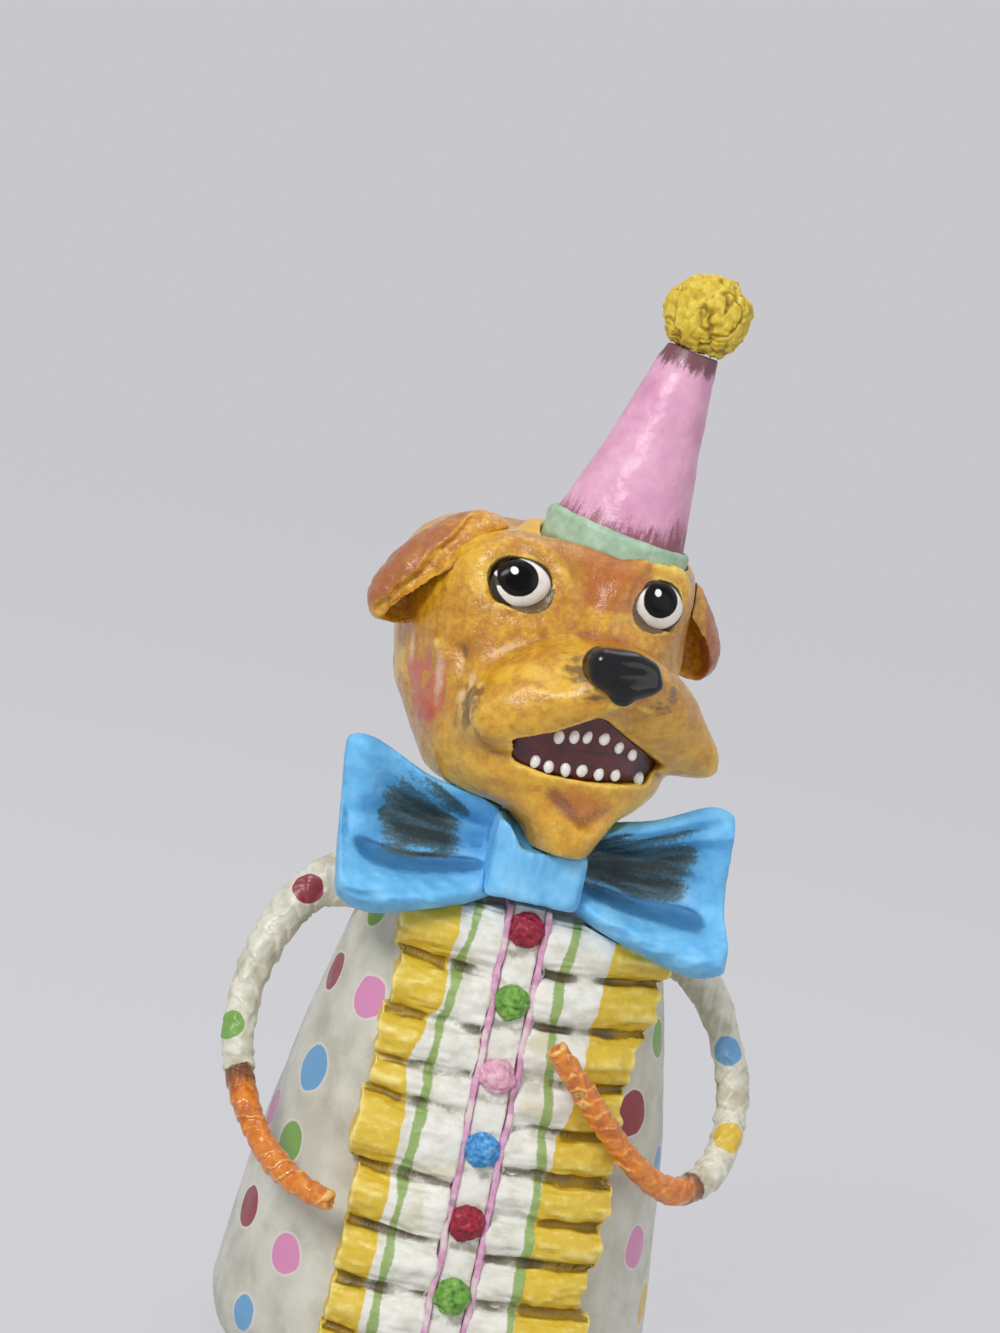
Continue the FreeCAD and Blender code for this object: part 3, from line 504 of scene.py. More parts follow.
def make_ruffle(side, name):
    """Half of the shirt front: pleats with pinched creases, a yellow free edge and a green stripe."""
    clay = taken_from(name, name, voxel=0.34)
    points = clay.points
    swung(points, 1 - ease(np.abs(points[:, 0]), 8, 20))
    edges = np.array(PLEAT_EDGES[side])
    rng = np.random.default_rng(7 + side)
    out = side * (points[:, 0] - FRONT_SIDE)
    number = pleat_number(points[:, 2], edges)
    reach = rng.uniform(-1.9, 1.5, len(edges))[number]
    free = ease(out, 14, 24)
    inner = 1 - ease(out, 12, 22)
    facing = ease(-clay.normals()[:, 1], -0.2, 0.5)
    tilts = rng.uniform(-0.35, 0.35, len(edges))
    lines = edges + np.outer((out - 14) / 10, tilts) + 0.5 * cloud(points, (8, 8, 40), 11 + side, 2)[:, None]
    trough = np.abs(points[:, 2, None] - lines).min(1)
    puff = 1.05 * np.sqrt(np.clip(trough / 4.5, 0, 1)) - 0.45 * np.exp(-(trough / 0.8) ** 2)
    gather = -1.15 * np.abs(cloud(points, (8, 8, 1.3), 17 + side, 2)) * np.exp(-(trough / 3.2) ** 2)
    gather *= 0.35 + 0.65 * inner
    soft = 0.7 * cloud(points, (7, 7, 4.5), 15 + side, 2) + 0.5 * cloud(points, (5, 5, 1.8), 18, 2)
    # The free edge runs in and out from pleat to pleat, and one pleat of the left half flares out.
    points[:, 0] += side * free * (reach + 0.9 * cloud(points, (30, 30, 2.4), 12 + side, 2))
    if side > 0:
        flare = ease(points[:, 2], 78, 82) * (1 - ease(points[:, 2], 93, 98)) * ease(out, 15, 25)
        points[:, 0] += 4.6 * flare
        points[:, 1] += 3.4 * flare
    clay.push(facing * (puff - 0.45 + gather + soft + 0.1 * cloud(points, 1.3, 19)))
    clay.polish(1)
    hollow = clay.hollows(20)
    along = clay.points[:, 2]
    out = side * (clay.points[:, 0] - FRONT_SIDE)
    wobble = cloud(clay.points, (40, 40, 5), 21 + side, 2)
    if side < 0:
        green = np.interp(along, (50, 76, 100), (13.4, 12.3, 9.6)) + 0.5 * wobble
        yellow = np.interp(along, (50, 60, 69, 75, 82, 100), (15.9, 16.0, 17.0, 15.3, 12.8, 12.8)) + 0.8 * wobble
    else:
        green = np.interp(along, (50, 69, 80, 89, 100), (12.2, 10.2, 9.0, 8.6, 9.7)) + 0.5 * wobble
        yellow = np.interp(along, (50, 58, 66, 76, 86, 94), (13.0, 13.8, 15.1, 16.1, 17.0, 17.4)) + 0.8 * wobble
    band = 0.95 + 0.5 * cloud(clay.points, (60, 60, 4), 25 + side, 2)
    gold = out - yellow
    patchy = np.clip(0.62 + 0.95 * cloud(clay.points, (6, 6, 5), 27, 2), 0, 1.3)
    # Painted shade: olive and umber in the creases between pleats and in the hollows, in patches.
    crease_shade = np.exp(-(trough / 0.95) ** 2) * patchy * (0.35 + 0.55 * inner)
    crease_shade += 0.4 * np.clip(hollow, -0.5, 1) * patchy
    clay.mask("stripe", band - np.abs(out - green))
    clay.mask("yellow", np.clip(gold, -4, 4))
    clay.mask("crease_shade", np.clip(crease_shade, -1, 2))
    # On the yellow edge: painted highlight on the crests and painted shade in the troughs.
    clay.mask("crest_highlight", np.clip(-hollow, 0, 1.5) * ease(gold, 0, 1.5))
    clay.mask("trough_shade", np.clip(hollow, 0, 1.5) * ease(gold, 0, 1.5))
    clay.mask("soot", inner * (patchy - 0.7))
    finish = Finish(f"painted_{name}", WHITE, mottle=4.0, seed=11 + side)
    finish.layer("soot", paint(206, 196, 152), 0.1, 0.5, grain=1.2, ragged=0.5, strength=0.5)
    finish.layer("yellow", paint(220, 186, 36), -0.15, 0.15, grain=1.2, ragged=1.2, strength=0.97)
    # Painted shade in the troughs and painted highlight on the crests.
    finish.layer("trough_shade", paint(142, 110, 14), 0.02, 0.27, grain=0.9, ragged=0.3, strength=0.85)
    finish.layer("crest_highlight", paint(250, 236, 150), 0.03, 0.30, grain=0.9, ragged=0.35, strength=0.7)
    finish.layer("stripe", paint(134, 166, 74), -0.15, 0.25, grain=0.9, ragged=1.1, strength=0.88)
    # Painted shade in the creases.
    finish.layer("crease_shade", OLIVE, 0.28, 0.75, grain=0.8, ragged=0.6, strength=0.8)
    finish.layer("crease_shade", UMBER, 0.60, 1.1, grain=0.6, ragged=0.6, strength=0.8)
    finish.layer(None, UMBER, 0.19, 0.25, grain=0.5, ragged=1.0, strength=0.4)
    clay.done(finish.skin(rough=(0.35, 0.6), coat=0.15, coat_rough=0.3, grain=(0.5, 0.09), dents=(2.2, 0.22)),
              name, slot="front_yellow")


def make_placket():
    clay = taken_from("placket_strip", "placket", voxel=0.3)
    swung(clay.points, 1.0)
    clay.push(0.18 * cloud(clay.points, (2.5, 2.5, 4), 31, 2) + 0.06 * cloud(clay.points, 0.9, 32))
    height = clay.points[:, 2]
    below = (TOP_BUTTON - height) % BUTTON_PITCH
    # Darker bands just below and just above each button.
    darkening = np.exp(-((below - 4.6) / 1.5) ** 2) + 0.7 * np.exp(-((below - 10.6) / 1.2) ** 2)
    clay.mask("darkening", darkening * (0.75 + 0.5 * cloud(clay.points, 2.5, 33, 2)))
    finish = Finish("painted_placket", WHITE, mottle=3.5, seed=21)
    finish.layer("darkening", OLIVE, 0.35, 1.0, grain=0.9, ragged=0.9, strength=0.7)
    finish.layer(None, UMBER, 0.18, 0.25, grain=0.45, ragged=1.0, strength=0.45)
    clay.done(finish.skin(rough=(0.4, 0.6), coat=0.1, grain=(0.5, 0.06), dents=(2.0, 0.12)), "placket",
              slot="placket_white")


def make_piping(side, name):
    clay = taken_from(f"{name}_cord", name, voxel=0.2)
    swung(clay.points, 1.0)
    clay.relax(8)
    points = clay.points
    points[:, 0] += 0.4 * cloud(points[:, 2:] * np.ones(3), (9, 9, 9), 41 + side, 2)
    clay.push(0.02 + 0.16 * cloud(points, (3, 3, 1.4), 43 + side, 2))
    clay.mask("wear_and_sheen", cloud(clay.points, (6, 6, 3.5), 45 + side, 2))
    finish = Finish(f"painted_{name}", (paint(196, 132, 170), paint(214, 158, 192), paint(228, 188, 212)),
                    mottle=2.0, seed=31 + side)
    finish.layer("wear_and_sheen", paint(230, 218, 212), 0.10, 0.40, grain=0.8, ragged=0.6, strength=0.65)
    finish.layer("wear_and_sheen", OLIVE, -0.30, -0.60, grain=0.6, ragged=0.3, strength=0.5)
    clay.done(finish.skin(rough=(0.4, 0.6), coat=0.1, grain=(0.4, 0.05), dents=(1.2, 0.08)), name,
              slot="piping_pink")


BUTTON_PAINTS = (("button_crimson", (paint(96, 8, 30), paint(150, 16, 46), paint(186, 40, 70))),
                 ("button_green", (paint(62, 110, 36), paint(110, 164, 62), paint(150, 196, 96))),
                 ("button_pink", (paint(196, 128, 152), paint(226, 168, 190), paint(244, 208, 220))),
                 ("button_blue", (paint(24, 92, 160), paint(60, 146, 210), paint(130, 192, 232))))


def make_buttons():
    """Crumbly beads, as if rolled in grit."""
    for number in range(1, BUTTON_COUNT + 1):
        node = f"button_{number}"
        slot, ground = BUTTON_PAINTS[(number - 1) % len(BUTTON_PAINTS)]
        clay = taken_from(f"bead_{number}", node, voxel=0.2)
        swung(clay.points, 1.0)
        clay.relax(3)
        points = clay.points
        middle = points.mean(0)
        out = ease(np.linalg.norm((points - middle)[:, (0, 2)], axis=1), 0.5, 3.4)
        front = ease(-clay.normals()[:, 1], -0.6, 0.3)
        grit = 0.5 * np.abs(cloud(points, 1.5, 50 + number)) + 0.3 * cloud(points, 0.8, 60 + number)
        clay.push(front * (grit - 0.15 + 0.4 * out * cloud(points, 3.0, 70 + number)))
        clay.mask("pit", clay.hollows(8))
        finish = Finish(f"grit_{number}", ground, mottle=1.3, seed=40 + number)
        shadow = tuple(0.35 * value for value in ground[0])
        finish.layer("pit", shadow, 0.02, 0.16, grain=0.5, ragged=0.12, strength=0.8)
        clay.done(finish.skin(rough=(0.3, 0.55), patch=0.8, grain=(0.35, 0.09), dents=(0.9, 0.12)),
                  node, slot=slot)


# Bow tie


# Where each wing's well begins and ends, as shares of the wing's height.
WELL_SHARES = {-1: (0.34, 0.99), 1: (0.30, 0.92)}
WING_BLUE = (paint(86, 168, 224), paint(108, 190, 242), paint(138, 208, 250))
KNOT_BLUE = (paint(90, 170, 224), paint(116, 192, 240), paint(146, 210, 248))


def make_wing(side, name):
    """A wing of the bow: hollowed between its rim and a rolled lower lip, with folds that fan out of the knot."""
    clay = taken_from(f"{name}_cloth", name, voxel=0.42)
    clay.relax(6)
    points = clay.points
    out = side * (points[:, 0] - BOW_SIDE)
    step = np.clip(np.floor(out).astype(int), 0, WING_REACH - 1)
    lows, highs = np.full(WING_REACH, np.inf), np.full(WING_REACH, -np.inf)
    np.minimum.at(lows, step, points[:, 2])
    np.maximum.at(highs, step, points[:, 2])
    used = np.nonzero(highs > lows)[0]
    low, high = (np.interp(out, used + 0.5, edge[used]) for edge in (lows, highs))
    level = (points[:, 2] - low) / np.maximum(high - low, 1)
    front = ease(-clay.normals()[:, 1], -0.1, 0.5)
    first, last = WELL_SHARES[side]
    well = np.clip((level - first) / (last - first), 0, 1)
    deep = np.sin(np.pi * well) ** 0.8 * ease(out, 5, 12) * (1 - ease(out, 29, 36))
    lip = np.exp(-((level - first / 2) / 0.14) ** 2) * ease(out, 9, 18)
    seam = np.exp(-((level - first - 0.02) / 0.05) ** 2) * ease(out, 7, 13) * (1 - ease(out, 31, 37))
    spread = np.arctan2(points[:, 2] - KNOT_HEIGHT, out - 2)
    fan = np.stack([spread * 5.5, out / 16, np.zeros(len(out))], 1)
    rays = cloud(fan, 1.0, 81 + side, 2)
    ridge = np.abs(cloud(fan, (0.8, 1, 1), 84 + side, 2))
    rumple = 0.5 * cloud(points, (9, 9, 6), 83, 2)
    crimp = 2.6 * np.abs(cloud(points, (7, 8, 2.2), 85 + side, 2)) * lip
    # The well stops short of the wing's back.
    places = np.floor((points[:, [0, 2]] - points[:, [0, 2]].min(0)) / 1.5).astype(int)
    backs = np.full(places.max(0) + 1, -np.inf)
    np.maximum.at(backs, (places[:, 0], places[:, 1]), points[:, 1])
    room = np.maximum(backs[places[:, 0], places[:, 1]] - points[:, 1] - WING_WALL, 0)
    folds = (1.3 * rays + 1.6 * ridge) * ease(out, 7, 14) * well ** 0.5
    points[:, 1] += np.minimum(front * (4.0 * deep - 3.2 * lip + 2.6 * seam + folds + rumple + crimp), room)
    clay.relax(2).polish(1)
    clay.push(0.10 * cloud(clay.points, 1.6, 87, 2))
    brush = cloud(fan * (3.2, 1.5, 1), 1.0, 88 + side, 3)
    begins, full = (10, 19) if side < 0 else (4, 10)
    # Painted shade: the well darkens to deeper blue, olive and near black, and the folds and the seam under the
    # lip to dark blue.
    painted = deep ** 0.6 * ease(out, begins, full) * (1 - ease(out, 26, 35)) * front
    clay.mask("well_shade", painted * (0.9 + 0.25 * ridge) + 0.5 * brush * ease(painted, 0.1, 0.4))
    clay.mask("fold_shade", np.clip(clay.hollows(14), 0, 1) + 0.7 * seam * front)
    clay.mask("deep", deep * front)
    finish = Finish(f"painted_{name}", WING_BLUE, mottle=5.0, seed=60 + side)
    # Painted shade in the well, the folds and the seam.
    finish.layer("deep", paint(66, 136, 186), 0.1, 1.0, grain=1.4, ragged=0.3, strength=0.55)
    finish.layer("fold_shade", paint(30, 92, 144), 0.10, 0.36, grain=0.8, ragged=0.2, strength=0.75)
    finish.layer("well_shade", paint(62, 84, 80), 0.32, 0.66, grain=0.6, ragged=0.9, strength=0.88)
    finish.layer("well_shade", paint(32, 40, 34), 0.60, 1.0, grain=0.45, ragged=0.9, strength=0.85)
    clay.done(finish.skin(rough=(0.45, 0.65), coat=0.1, coat_rough=0.4, grain=(0.5, 0.07), dents=(3.0, 0.2)),
              name, slot="bow_blue")


def make_bow():
    make_wing(-1, "bow_wing_right")
    make_wing(1, "bow_wing_left")
    clay = taken_from("bow_knot_cloth", "bow_knot", voxel=0.4)
    clay.relax(22)
    points = clay.points
    front = ease(-clay.normals()[:, 1], -0.1, 0.5)
    pinch = np.abs(cloud(points, (3.2, 9, 14), 90, 2))
    points[:, 1] += front * (1.3 * pinch - 0.4 + 0.02 * (points[:, 0] - BOW_SIDE) ** 2)
    clay.push(0.4 * cloud(clay.points, (5, 9, 9), 91, 2) + 0.08 * cloud(clay.points, 1.6, 92, 2))
    # Painted shade in the knot's folds.
    clay.mask("fold_shade", clay.hollows(10))
    finish = Finish("painted_knot", KNOT_BLUE, mottle=7.0, seed=66)
    finish.layer("fold_shade", paint(40, 112, 168), 0.08, 0.34, grain=0.8, ragged=0.2, strength=0.65)
    clay.done(finish.skin(rough=(0.45, 0.65), coat=0.1, coat_rough=0.4, grain=(0.5, 0.06), dents=(3.0, 0.18)),
              "bow_knot", slot="bow_blue")


# Head


OCHRE = (paint(168, 108, 6), paint(198, 138, 14), paint(226, 172, 36))
EAR_OCHRE = (paint(170, 106, 14), paint(202, 140, 26), paint(230, 178, 62))
EYE_WHITE = (paint(222, 219, 210), paint(240, 238, 233), paint(246, 245, 242))

# The eyes' outlines: middles, tilt in degrees, half lengths along and across. The left one steps inwards.
EYE_SIDES, EYE_DEPTH, EYE_RISE = {-1: -14.4, 1: 13.3}, -25, -0.8
EYE_TILT, EYE_HALF_LENGTH, EYE_HALF_HEIGHT = 18, 6.0, 4.7
LEFT_EYE_STEP = 1.1
GAZES = {-1: np.array([-15.8, 0.3]), 1: np.array([13.1, 0.6])}
IRIS_RADIUS, PUPIL_RADIUS, GLINT_RADIUS = 3.8, 2.7, 0.7


def eye_outline(side, up, one):
    """Where points are on an eye's outline: 1 on it and less inside, then along and above its long axis."""
    tilt = math.radians(EYE_TILT * one)
    away, above = side - EYE_SIDES[one], up - EYE_RISE
    across = away * math.cos(tilt) + above * math.sin(tilt)
    rise = -away * math.sin(tilt) + above * math.cos(tilt)
    return np.hypot(across / EYE_HALF_LENGTH, rise / EYE_HALF_HEIGHT), across, rise


def make_head():
    clay = taken_from("head", "head_shell", voxel=0.5, plugs=(PEG_HOLE_IN_HEAD,))
    local = on_head(clay.points)
    side, back, up = local.T
    mouth = ease(np.abs(side), 21, 17) * ease(up, -39, -36) * ease(-up, 17, 20) * ease(-back, 22, 26)
    clay.polish(6, 1 - mouth)
    cheek = bump_at(local, (-21, -24, -27), (9, 13, 13)) + bump_at(local, (24, -22, -25), (6, 12, 12))
    cheek += bump_at(local, (0.4, -34, -41), (16, 13, 6))
    clay.relax(150, 0.5, np.clip(1.3 * cheek, 0, 1) * (1 - mouth))
    clay.relax(40, 0.5, bump_at(on_head(clay.points), HAT_CENTRE, (18, 18, 5)))
    # The chin narrows to a small round, and the left jowl ends in a low point.
    local = on_head(clay.points)
    side, back, up = local.T
    pinch = ease(-up, 36, 47) * ease(-back, 16, 26)
    move = np.zeros_like(local)
    move[:, 0] = -0.30 * (side - 0.4) * pinch
    tip = bump_at(local, (27.5, -30, -29), (6, 9, 6))
    move += tip[:, None] * (2.4, -0.6, -2.4)
    move[:, 0] -= 1.1 * bump_at(local, (27, -31, -17), (5, 9, 5))
    move[:, 2] += 1.0 * bump_at(local, (22, -33, -36), (5, 9, 4)) * (1 - mouth)
    clay.points += move @ HEAD_AXES.T
    local = on_head(clay.points)
    side, back, up = local.T
    shape = np.zeros(len(clay.points))
    for one in (-1, 1):
        eye = (EYE_SIDES[one], EYE_DEPTH, EYE_RISE)
        ring = np.linalg.norm((local - eye) / (1, 2.2, 1), axis=1)
        shape += 0.9 * np.exp(-((ring - 8.4) / 2.2) ** 2) * ease(up, -4, 3)
        shape -= 0.25 * np.exp(-((ring - 6.4) / 1.1) ** 2)
        shape += 0.5 * bump_at(local, (12 * one, -27, -8.5), (6, 9, 2.6))
    shape += 0.8 * bump_at(local, (2.5, -26, -3), (2.6, 9, 7))
    shape -= 0.9 * bump_at(local, (-11.5, -37, -14.5), (3.0, 9, 3.2))
    shape -= 0.8 * bump_at(local, (11.5, -40, -17), (2.2, 9, 3.2))
    shape += 1.0 * bump_at(local, (-13, -38, -20), (4.5, 9, 3.6))
    shape -= 1.0 * bump_at(local, (0.4, -36, -41), (4.5, 9, 3.0))
    groove = line_distance(local, [(-22.5, -18, -15), (-24.3, -24, -22), (-23.0, -30, -30)])
    shape -= 1.2 * np.exp(-(groove / 1.9) ** 2)
    ridge = line_distance(local, [(-25.5, -14, -15), (-27.2, -19, -23), (-25.5, -23, -31)])
    shape += 1.0 * np.exp(-(ridge / 2.0) ** 2)
    rough = 0.5 * cloud(local, 13, 101, 2) + 0.28 * cloud(local, 5, 102, 2) + 0.12 * cloud(local, 1.9, 103, 2)
    clay.push((shape + rough) * (1 - 0.8 * mouth))
    clay.polish(1)
    # The sockets lie behind the eyes.
    for one in (-1, 1):
        side, back, up = on_head(clay.points).T
        rim, _, _ = eye_outline(side, up, one)
        sunk = 1.3 * (1 - ease(rim, 0.80, 1.0)) * ease(-back, 12, 20)
        clay.points += sunk[:, None] * HEAD_AXES[:, 1]
    local = on_head(clay.points)
    side, back, up = local.T
    front = ease(-back, 12, 20)
    hollow = clay.hollows(16)
    patch = ease(up, -6, -1) * ease(side, -6, -1) * (1 - ease(side, 10, 14)) * front
    clay.mask("patch", patch * (0.75 + 0.35 * cloud(local, 4, 105, 2)))
    clay.mask("blush", bump_at(local, (2.5, -29, -8.6), (6.5, 14, 2.4)))
    streaks = 0.8 + 1.4 * cloud(local, (1.0, 2.6, 4.5), 111, 2)
    clay.mask("rosy", bump_at(local, (-26, -10, -24.5), (9, 8, 8)) * ease(-side, 18, 22) * streaks)
    clay.mask("rosy_low", bump_at(local, (-25, -10, -28.5), (9, 7.5, 3.4)))
    # Painted highlight: pale glints on the right cheek's rosy patch.
    shine = bump_at(local, (-25.5, -15, -21), (9, 1.8, 7)) + bump_at(local, (-26.5, -4.5, -18), (9, 1.5, 4))
    clay.mask("shine", shine)
    # Painted shade in the groove behind the right cheek, streaked with pale brush strokes.
    smear = bump_at(local, (-22.8, -26, -23), (4.0, 9, 7.5)) * ease(-side, 17.5, 19.5)
    strokes = cloud(local, (0.8, 2.4, 6.0), 106, 2)
    clay.mask("crease_shade", smear * (0.75 - 1.4 * strokes) + 0.5 * np.exp(-(groove / 1.2) ** 2))
    clay.mask("crease_pale", smear * (0.75 + 1.4 * strokes))
    brush = np.zeros(len(local))
    for place, reach in (((-8.0, -40, -13.0), (2.4, 9, 3.6)), ((-5.5, -44, -17), (2.4, 9, 1.8)),
                         ((8.5, -43, -17.5), (2.8, 9, 2.0)), ((10.6, -41, -15), (1.8, 9, 3.0))):
        brush = np.maximum(brush, bump_at(local, place, reach))
    clay.mask("brush", brush * (0.85 + 1.2 * cloud(local, (1.8, 1.8, 0.5), 109, 2)))
    clay.mask("chin", bump_at(local, (0.4, -36, -39), (7.0, 12, 4.0)))
    smudge = line_distance(local, [(-5.5, -34, -37.5), (0.5, -36, -42), (5.5, -36, -39)])
    clay.mask("chin_dark", np.exp(-(smudge / 1.9) ** 2))
    # Darker paint in the hollows; painted highlight on the raised places.
    clay.mask("hollow", hollow)
    clay.mask("ridge", -hollow)
    clay.mask("glaze", cloud(local, (10, 10, 7), 107, 3))
    clay.mask("golden", ease(-up, 12, 24) * front * (0.75 + 0.7 * cloud(local, (2.2, 2.2, 1.7), 110, 3)))
    lids = np.zeros(len(local))
    for one in (-1, 1):
        rim, _, rise = eye_outline(side, up, one)
        below = ease(-rise, -1.5, 2.0)
        lids = np.maximum(lids, (1 - ease(rim, 1.0, 1.06 + 0.08 * below)) * front)
    clay.mask("lid", lids)
    finish = Finish("varnished_ochre", OCHRE, mottle=1.6, seed=71)
    finish.layer("glaze", paint(172, 106, 8), 0.05, 0.5, grain=1.6, ragged=0.7, strength=0.55)
    finish.layer("glaze", paint(238, 190, 50), -0.08, -0.45, grain=1.4, ragged=0.7, strength=0.65)
    finish.layer("golden", paint(238, 192, 56), 0.10, 1.35, grain=0.6, ragged=0.7, strength=0.6)
    # Darker paint in the hollows, then a painted highlight on the raised places.
    finish.layer("hollow", paint(126, 72, 8), 0.03, 0.34, grain=1.0, ragged=0.4, strength=0.85)
    finish.layer("ridge", paint(250, 212, 88), 0.05, 0.30, grain=0.9, ragged=0.35, strength=0.7)
    finish.layer("patch", paint(172, 84, 10), 0.25, 0.85, grain=1.2, ragged=0.8, strength=0.8)
    finish.layer("blush", paint(158, 74, 22), 0.35, 0.9, grain=1.3, ragged=0.6, strength=0.75)
    finish.layer("rosy", paint(190, 92, 76), 0.25, 0.60, grain=1.2, ragged=0.6, strength=0.8)
    finish.layer("rosy_low", paint(192, 66, 26), 0.35, 0.8, grain=1.2, ragged=0.6, strength=0.8)
    # Painted highlight on the rosy cheek.
    finish.layer("shine", paint(240, 214, 180), 0.35, 1.2, grain=0.6, ragged=0.9, strength=0.65)
    # Painted shade in the groove, then the pale brush strokes.
    finish.layer("crease_shade", paint(84, 66, 36), 0.40, 0.95, grain=0.6, ragged=0.7, strength=0.8)
    finish.layer("crease_pale", paint(234, 218, 176), 0.50, 1.05, grain=0.5, ragged=0.8, strength=0.65)
    finish.layer("brush", paint(84, 56, 18), 0.22, 1.1, grain=0.4, ragged=0.9, strength=0.8)
    finish.layer("chin", paint(184, 98, 28), 0.12, 1.05, grain=0.8, ragged=0.8, strength=0.75)
    finish.layer("chin_dark", paint(122, 64, 22), 0.30, 1.0, grain=0.5, ragged=1.0, strength=0.8)
    finish.layer(None, paint(116, 70, 12), 0.12, 0.25, grain=0.45, ragged=1.0, strength=0.55)
    finish.layer("lid", UMBER, 0.30, 0.6, grain=0.6, ragged=0.35, strength=0.9)
    clay.done(finish.skin(rough=(0.25, 0.5), patch=1.5, coat=0.6, coat_rough=0.18, grain=(0.6, 0.14),
                          dents=(2.6, 0.3)),
              "head_shell", slot="head_ochre")


def make_mouth():
    clay = taken_from("mouth_painted", "mouth_lining", voxel=0.3)
    clay.relax(3)
    local = on_head(clay.points)
    clay.push(0.25 * cloud(local, (5, 9, 3), 111, 2) * ease(-local[:, 1], 30, 33))
    clay.mask("streak", cloud(local, (7, 9, 1.1), 113, 2))
    finish = Finish("varnished_maroon", (paint(62, 10, 18), paint(84, 16, 26), paint(108, 30, 40)), 3.0, 81)
    finish.layer("streak", paint(44, 6, 12), 0.1, 0.5, grain=0.8, ragged=0.4, strength=0.7)
    clay.done(finish.skin(rough=(0.3, 0.5), coat=0.4, coat_rough=0.2, grain=(0.6, 0.05), dents=(2.0, 0.12)),
              "mouth_lining", slot="mouth_maroon")


def make_teeth(node, name, seed):
    """One dab of white for each bead, longer than it is wide."""
    source = bmesh.new()
    source.from_mesh(NODES[node].data)
    bmesh.ops.remove_doubles(source, verts=source.verts, dist=MERGE)
    rng = np.random.default_rng(seed)
    whole = bmesh.new()
    left = set(source.verts)
    beads = []
    while left:
        found, wave = set(), [left.pop()]
        while wave:
            vert = wave.pop()
            found.add(vert)
            for edge in vert.link_edges:
                other = edge.other_vert(vert)
                if other in left:
                    left.discard(other)
                    wave.append(other)
        beads.append(np.array([v.co for v in found]).mean(0) / MM)
    source.free()
    for centre in sorted(beads, key=lambda bead: bead[0]):
        wide, tall, deep = 0.98 * rng.uniform(0.86, 1.1), 1.36 * rng.uniform(0.86, 1.1), 0.9
        axes = HEAD_AXES @ turn_about("Y", rng.uniform(-16, 16)) @ np.diag([wide, deep, tall])
        matrix = Matrix(axes * MM).to_4x4()
        matrix.translation = Vector((centre + HEAD_AXES @ np.array([0, 0.35, 0])) * MM)
        bmesh.ops.create_icosphere(whole, subdivisions=4, radius=1, matrix=matrix)
    mesh = bpy.data.meshes.new(name)
    whole.to_mesh(mesh)
    whole.free()
    clay = Clay(name, mesh)
    clay.push(0.09 * cloud(clay.points, 1.1, seed, 2))
    finish = Finish(f"enamel_{name}", (paint(214, 208, 196), paint(236, 233, 226), paint(246, 245, 240)), 1.2, 90)
    clay.done(finish.skin(rough=(0.25, 0.4), coat=0.5, coat_rough=0.1, grain=(0.4, 0.03), dents=(1.0, 0.05)),
              node, slot="tooth_white")


def make_eyes():
    for one, name in ((-1, "eye_right"), (1, "eye_left")):
        clay = taken_from(f"{name}_painted", name, voxel=0.16)
        clay.polish(3)
        if one > 0:
            clay.points -= LEFT_EYE_STEP * HEAD_AXES[:, 0]
        local = on_head(clay.points)
        side, _, up = local.T
        gaze = GAZES[one]
        away = np.hypot(side - gaze[0], 1.09 * (up - gaze[1]))
        away *= 1 + 0.02 * cloud(local, 1.5, 121, 2)
        clay.mask("iris", IRIS_RADIUS - away)
        clay.mask("pupil", PUPIL_RADIUS - away)
        clay.mask("glint", GLINT_RADIUS - np.hypot(side - gaze[0] + 1.0, up - gaze[1] - 1.3))
        rim, across, rise = eye_outline(side, up, one)
        corner = (one < 0) * bump_at(np.stack([across, rise], 1), (-4.9, -1.7), (1.4, 0.9))
        clay.mask("line", ease(rim, 0.90, 1.0) * (0.6 + 0.4 * ease(-rise, 0.5, 2.5)) + corner)
        clay.mask("edge", ease(rim, 0.85, 1.0))
        finish = Finish(f"painted_{name}", EYE_WHITE, mottle=2.0, seed=95)
        finish.layer("edge", paint(140, 112, 76), 0.3, 1.0, grain=0.6, ragged=0.3, strength=0.7)
        finish.layer("iris", paint(24, 21, 22), -0.1, 0.12, grain=0.5, ragged=0.15)
        finish.layer("pupil", paint(3, 3, 4), -0.1, 0.35, grain=0.5, ragged=0.15)
        finish.layer("line", paint(26, 18, 12), 0.36, 0.58, grain=0.5, ragged=0.25, strength=0.92)
        finish.layer("glint", paint(246, 246, 248), -0.1, 0.1)
        finish.shader.inputs["Specular IOR Level"].default_value = 0.12
        clay.done(finish.skin(rough=(0.2, 0.3), coat=0.05, coat_rough=0.06, grain=(0.5, 0.008),
                              dents=(2.0, 0.03)), name, slot="eye_white")


def make_nose():
    clay = taken_from("nose_lump", "nose", voxel=0.26)
    local = on_head(clay.points)
    side, _, up = local.T
    move = np.zeros_like(local)
    move[:, 2] = -0.36 * np.clip(side - 0.5, 0, 9) * ease(up, -14.0, -11.0)
    clay.points += move @ HEAD_AXES.T
    clay.relax(60)
    local = on_head(clay.points)
    shape = 0.7 * bump_at(local, (-1.5, -47, -10.0), (5.0, 3, 1.4))
    shape += 1.1 * bump_at(local, (0.3, -46, -14.0), (5.0, 6, 1.8))
    clay.push(shape + 0.7 + 0.12 * cloud(local, 2.2, 131, 2))
    # Painted highlight: grey on the nose's raised places.
    clay.mask("wear_and_sheen", -clay.hollows(10))
    finish = Finish("varnished_black", (paint(5, 5, 7), paint(10, 10, 13), paint(18, 19, 24)), 2.0, 99)
    finish.layer("wear_and_sheen", paint(60, 62, 70), 0.03, 0.25, grain=0.8, ragged=0.15, strength=0.4)
    finish.shader.inputs["Specular IOR Level"].default_value = 0.2
    clay.done(finish.skin(rough=(0.16, 0.3), coat=0.4, coat_rough=0.06, grain=(0.6, 0.02), dents=(1.6, 0.10)),
              "nose", slot="nose_black")


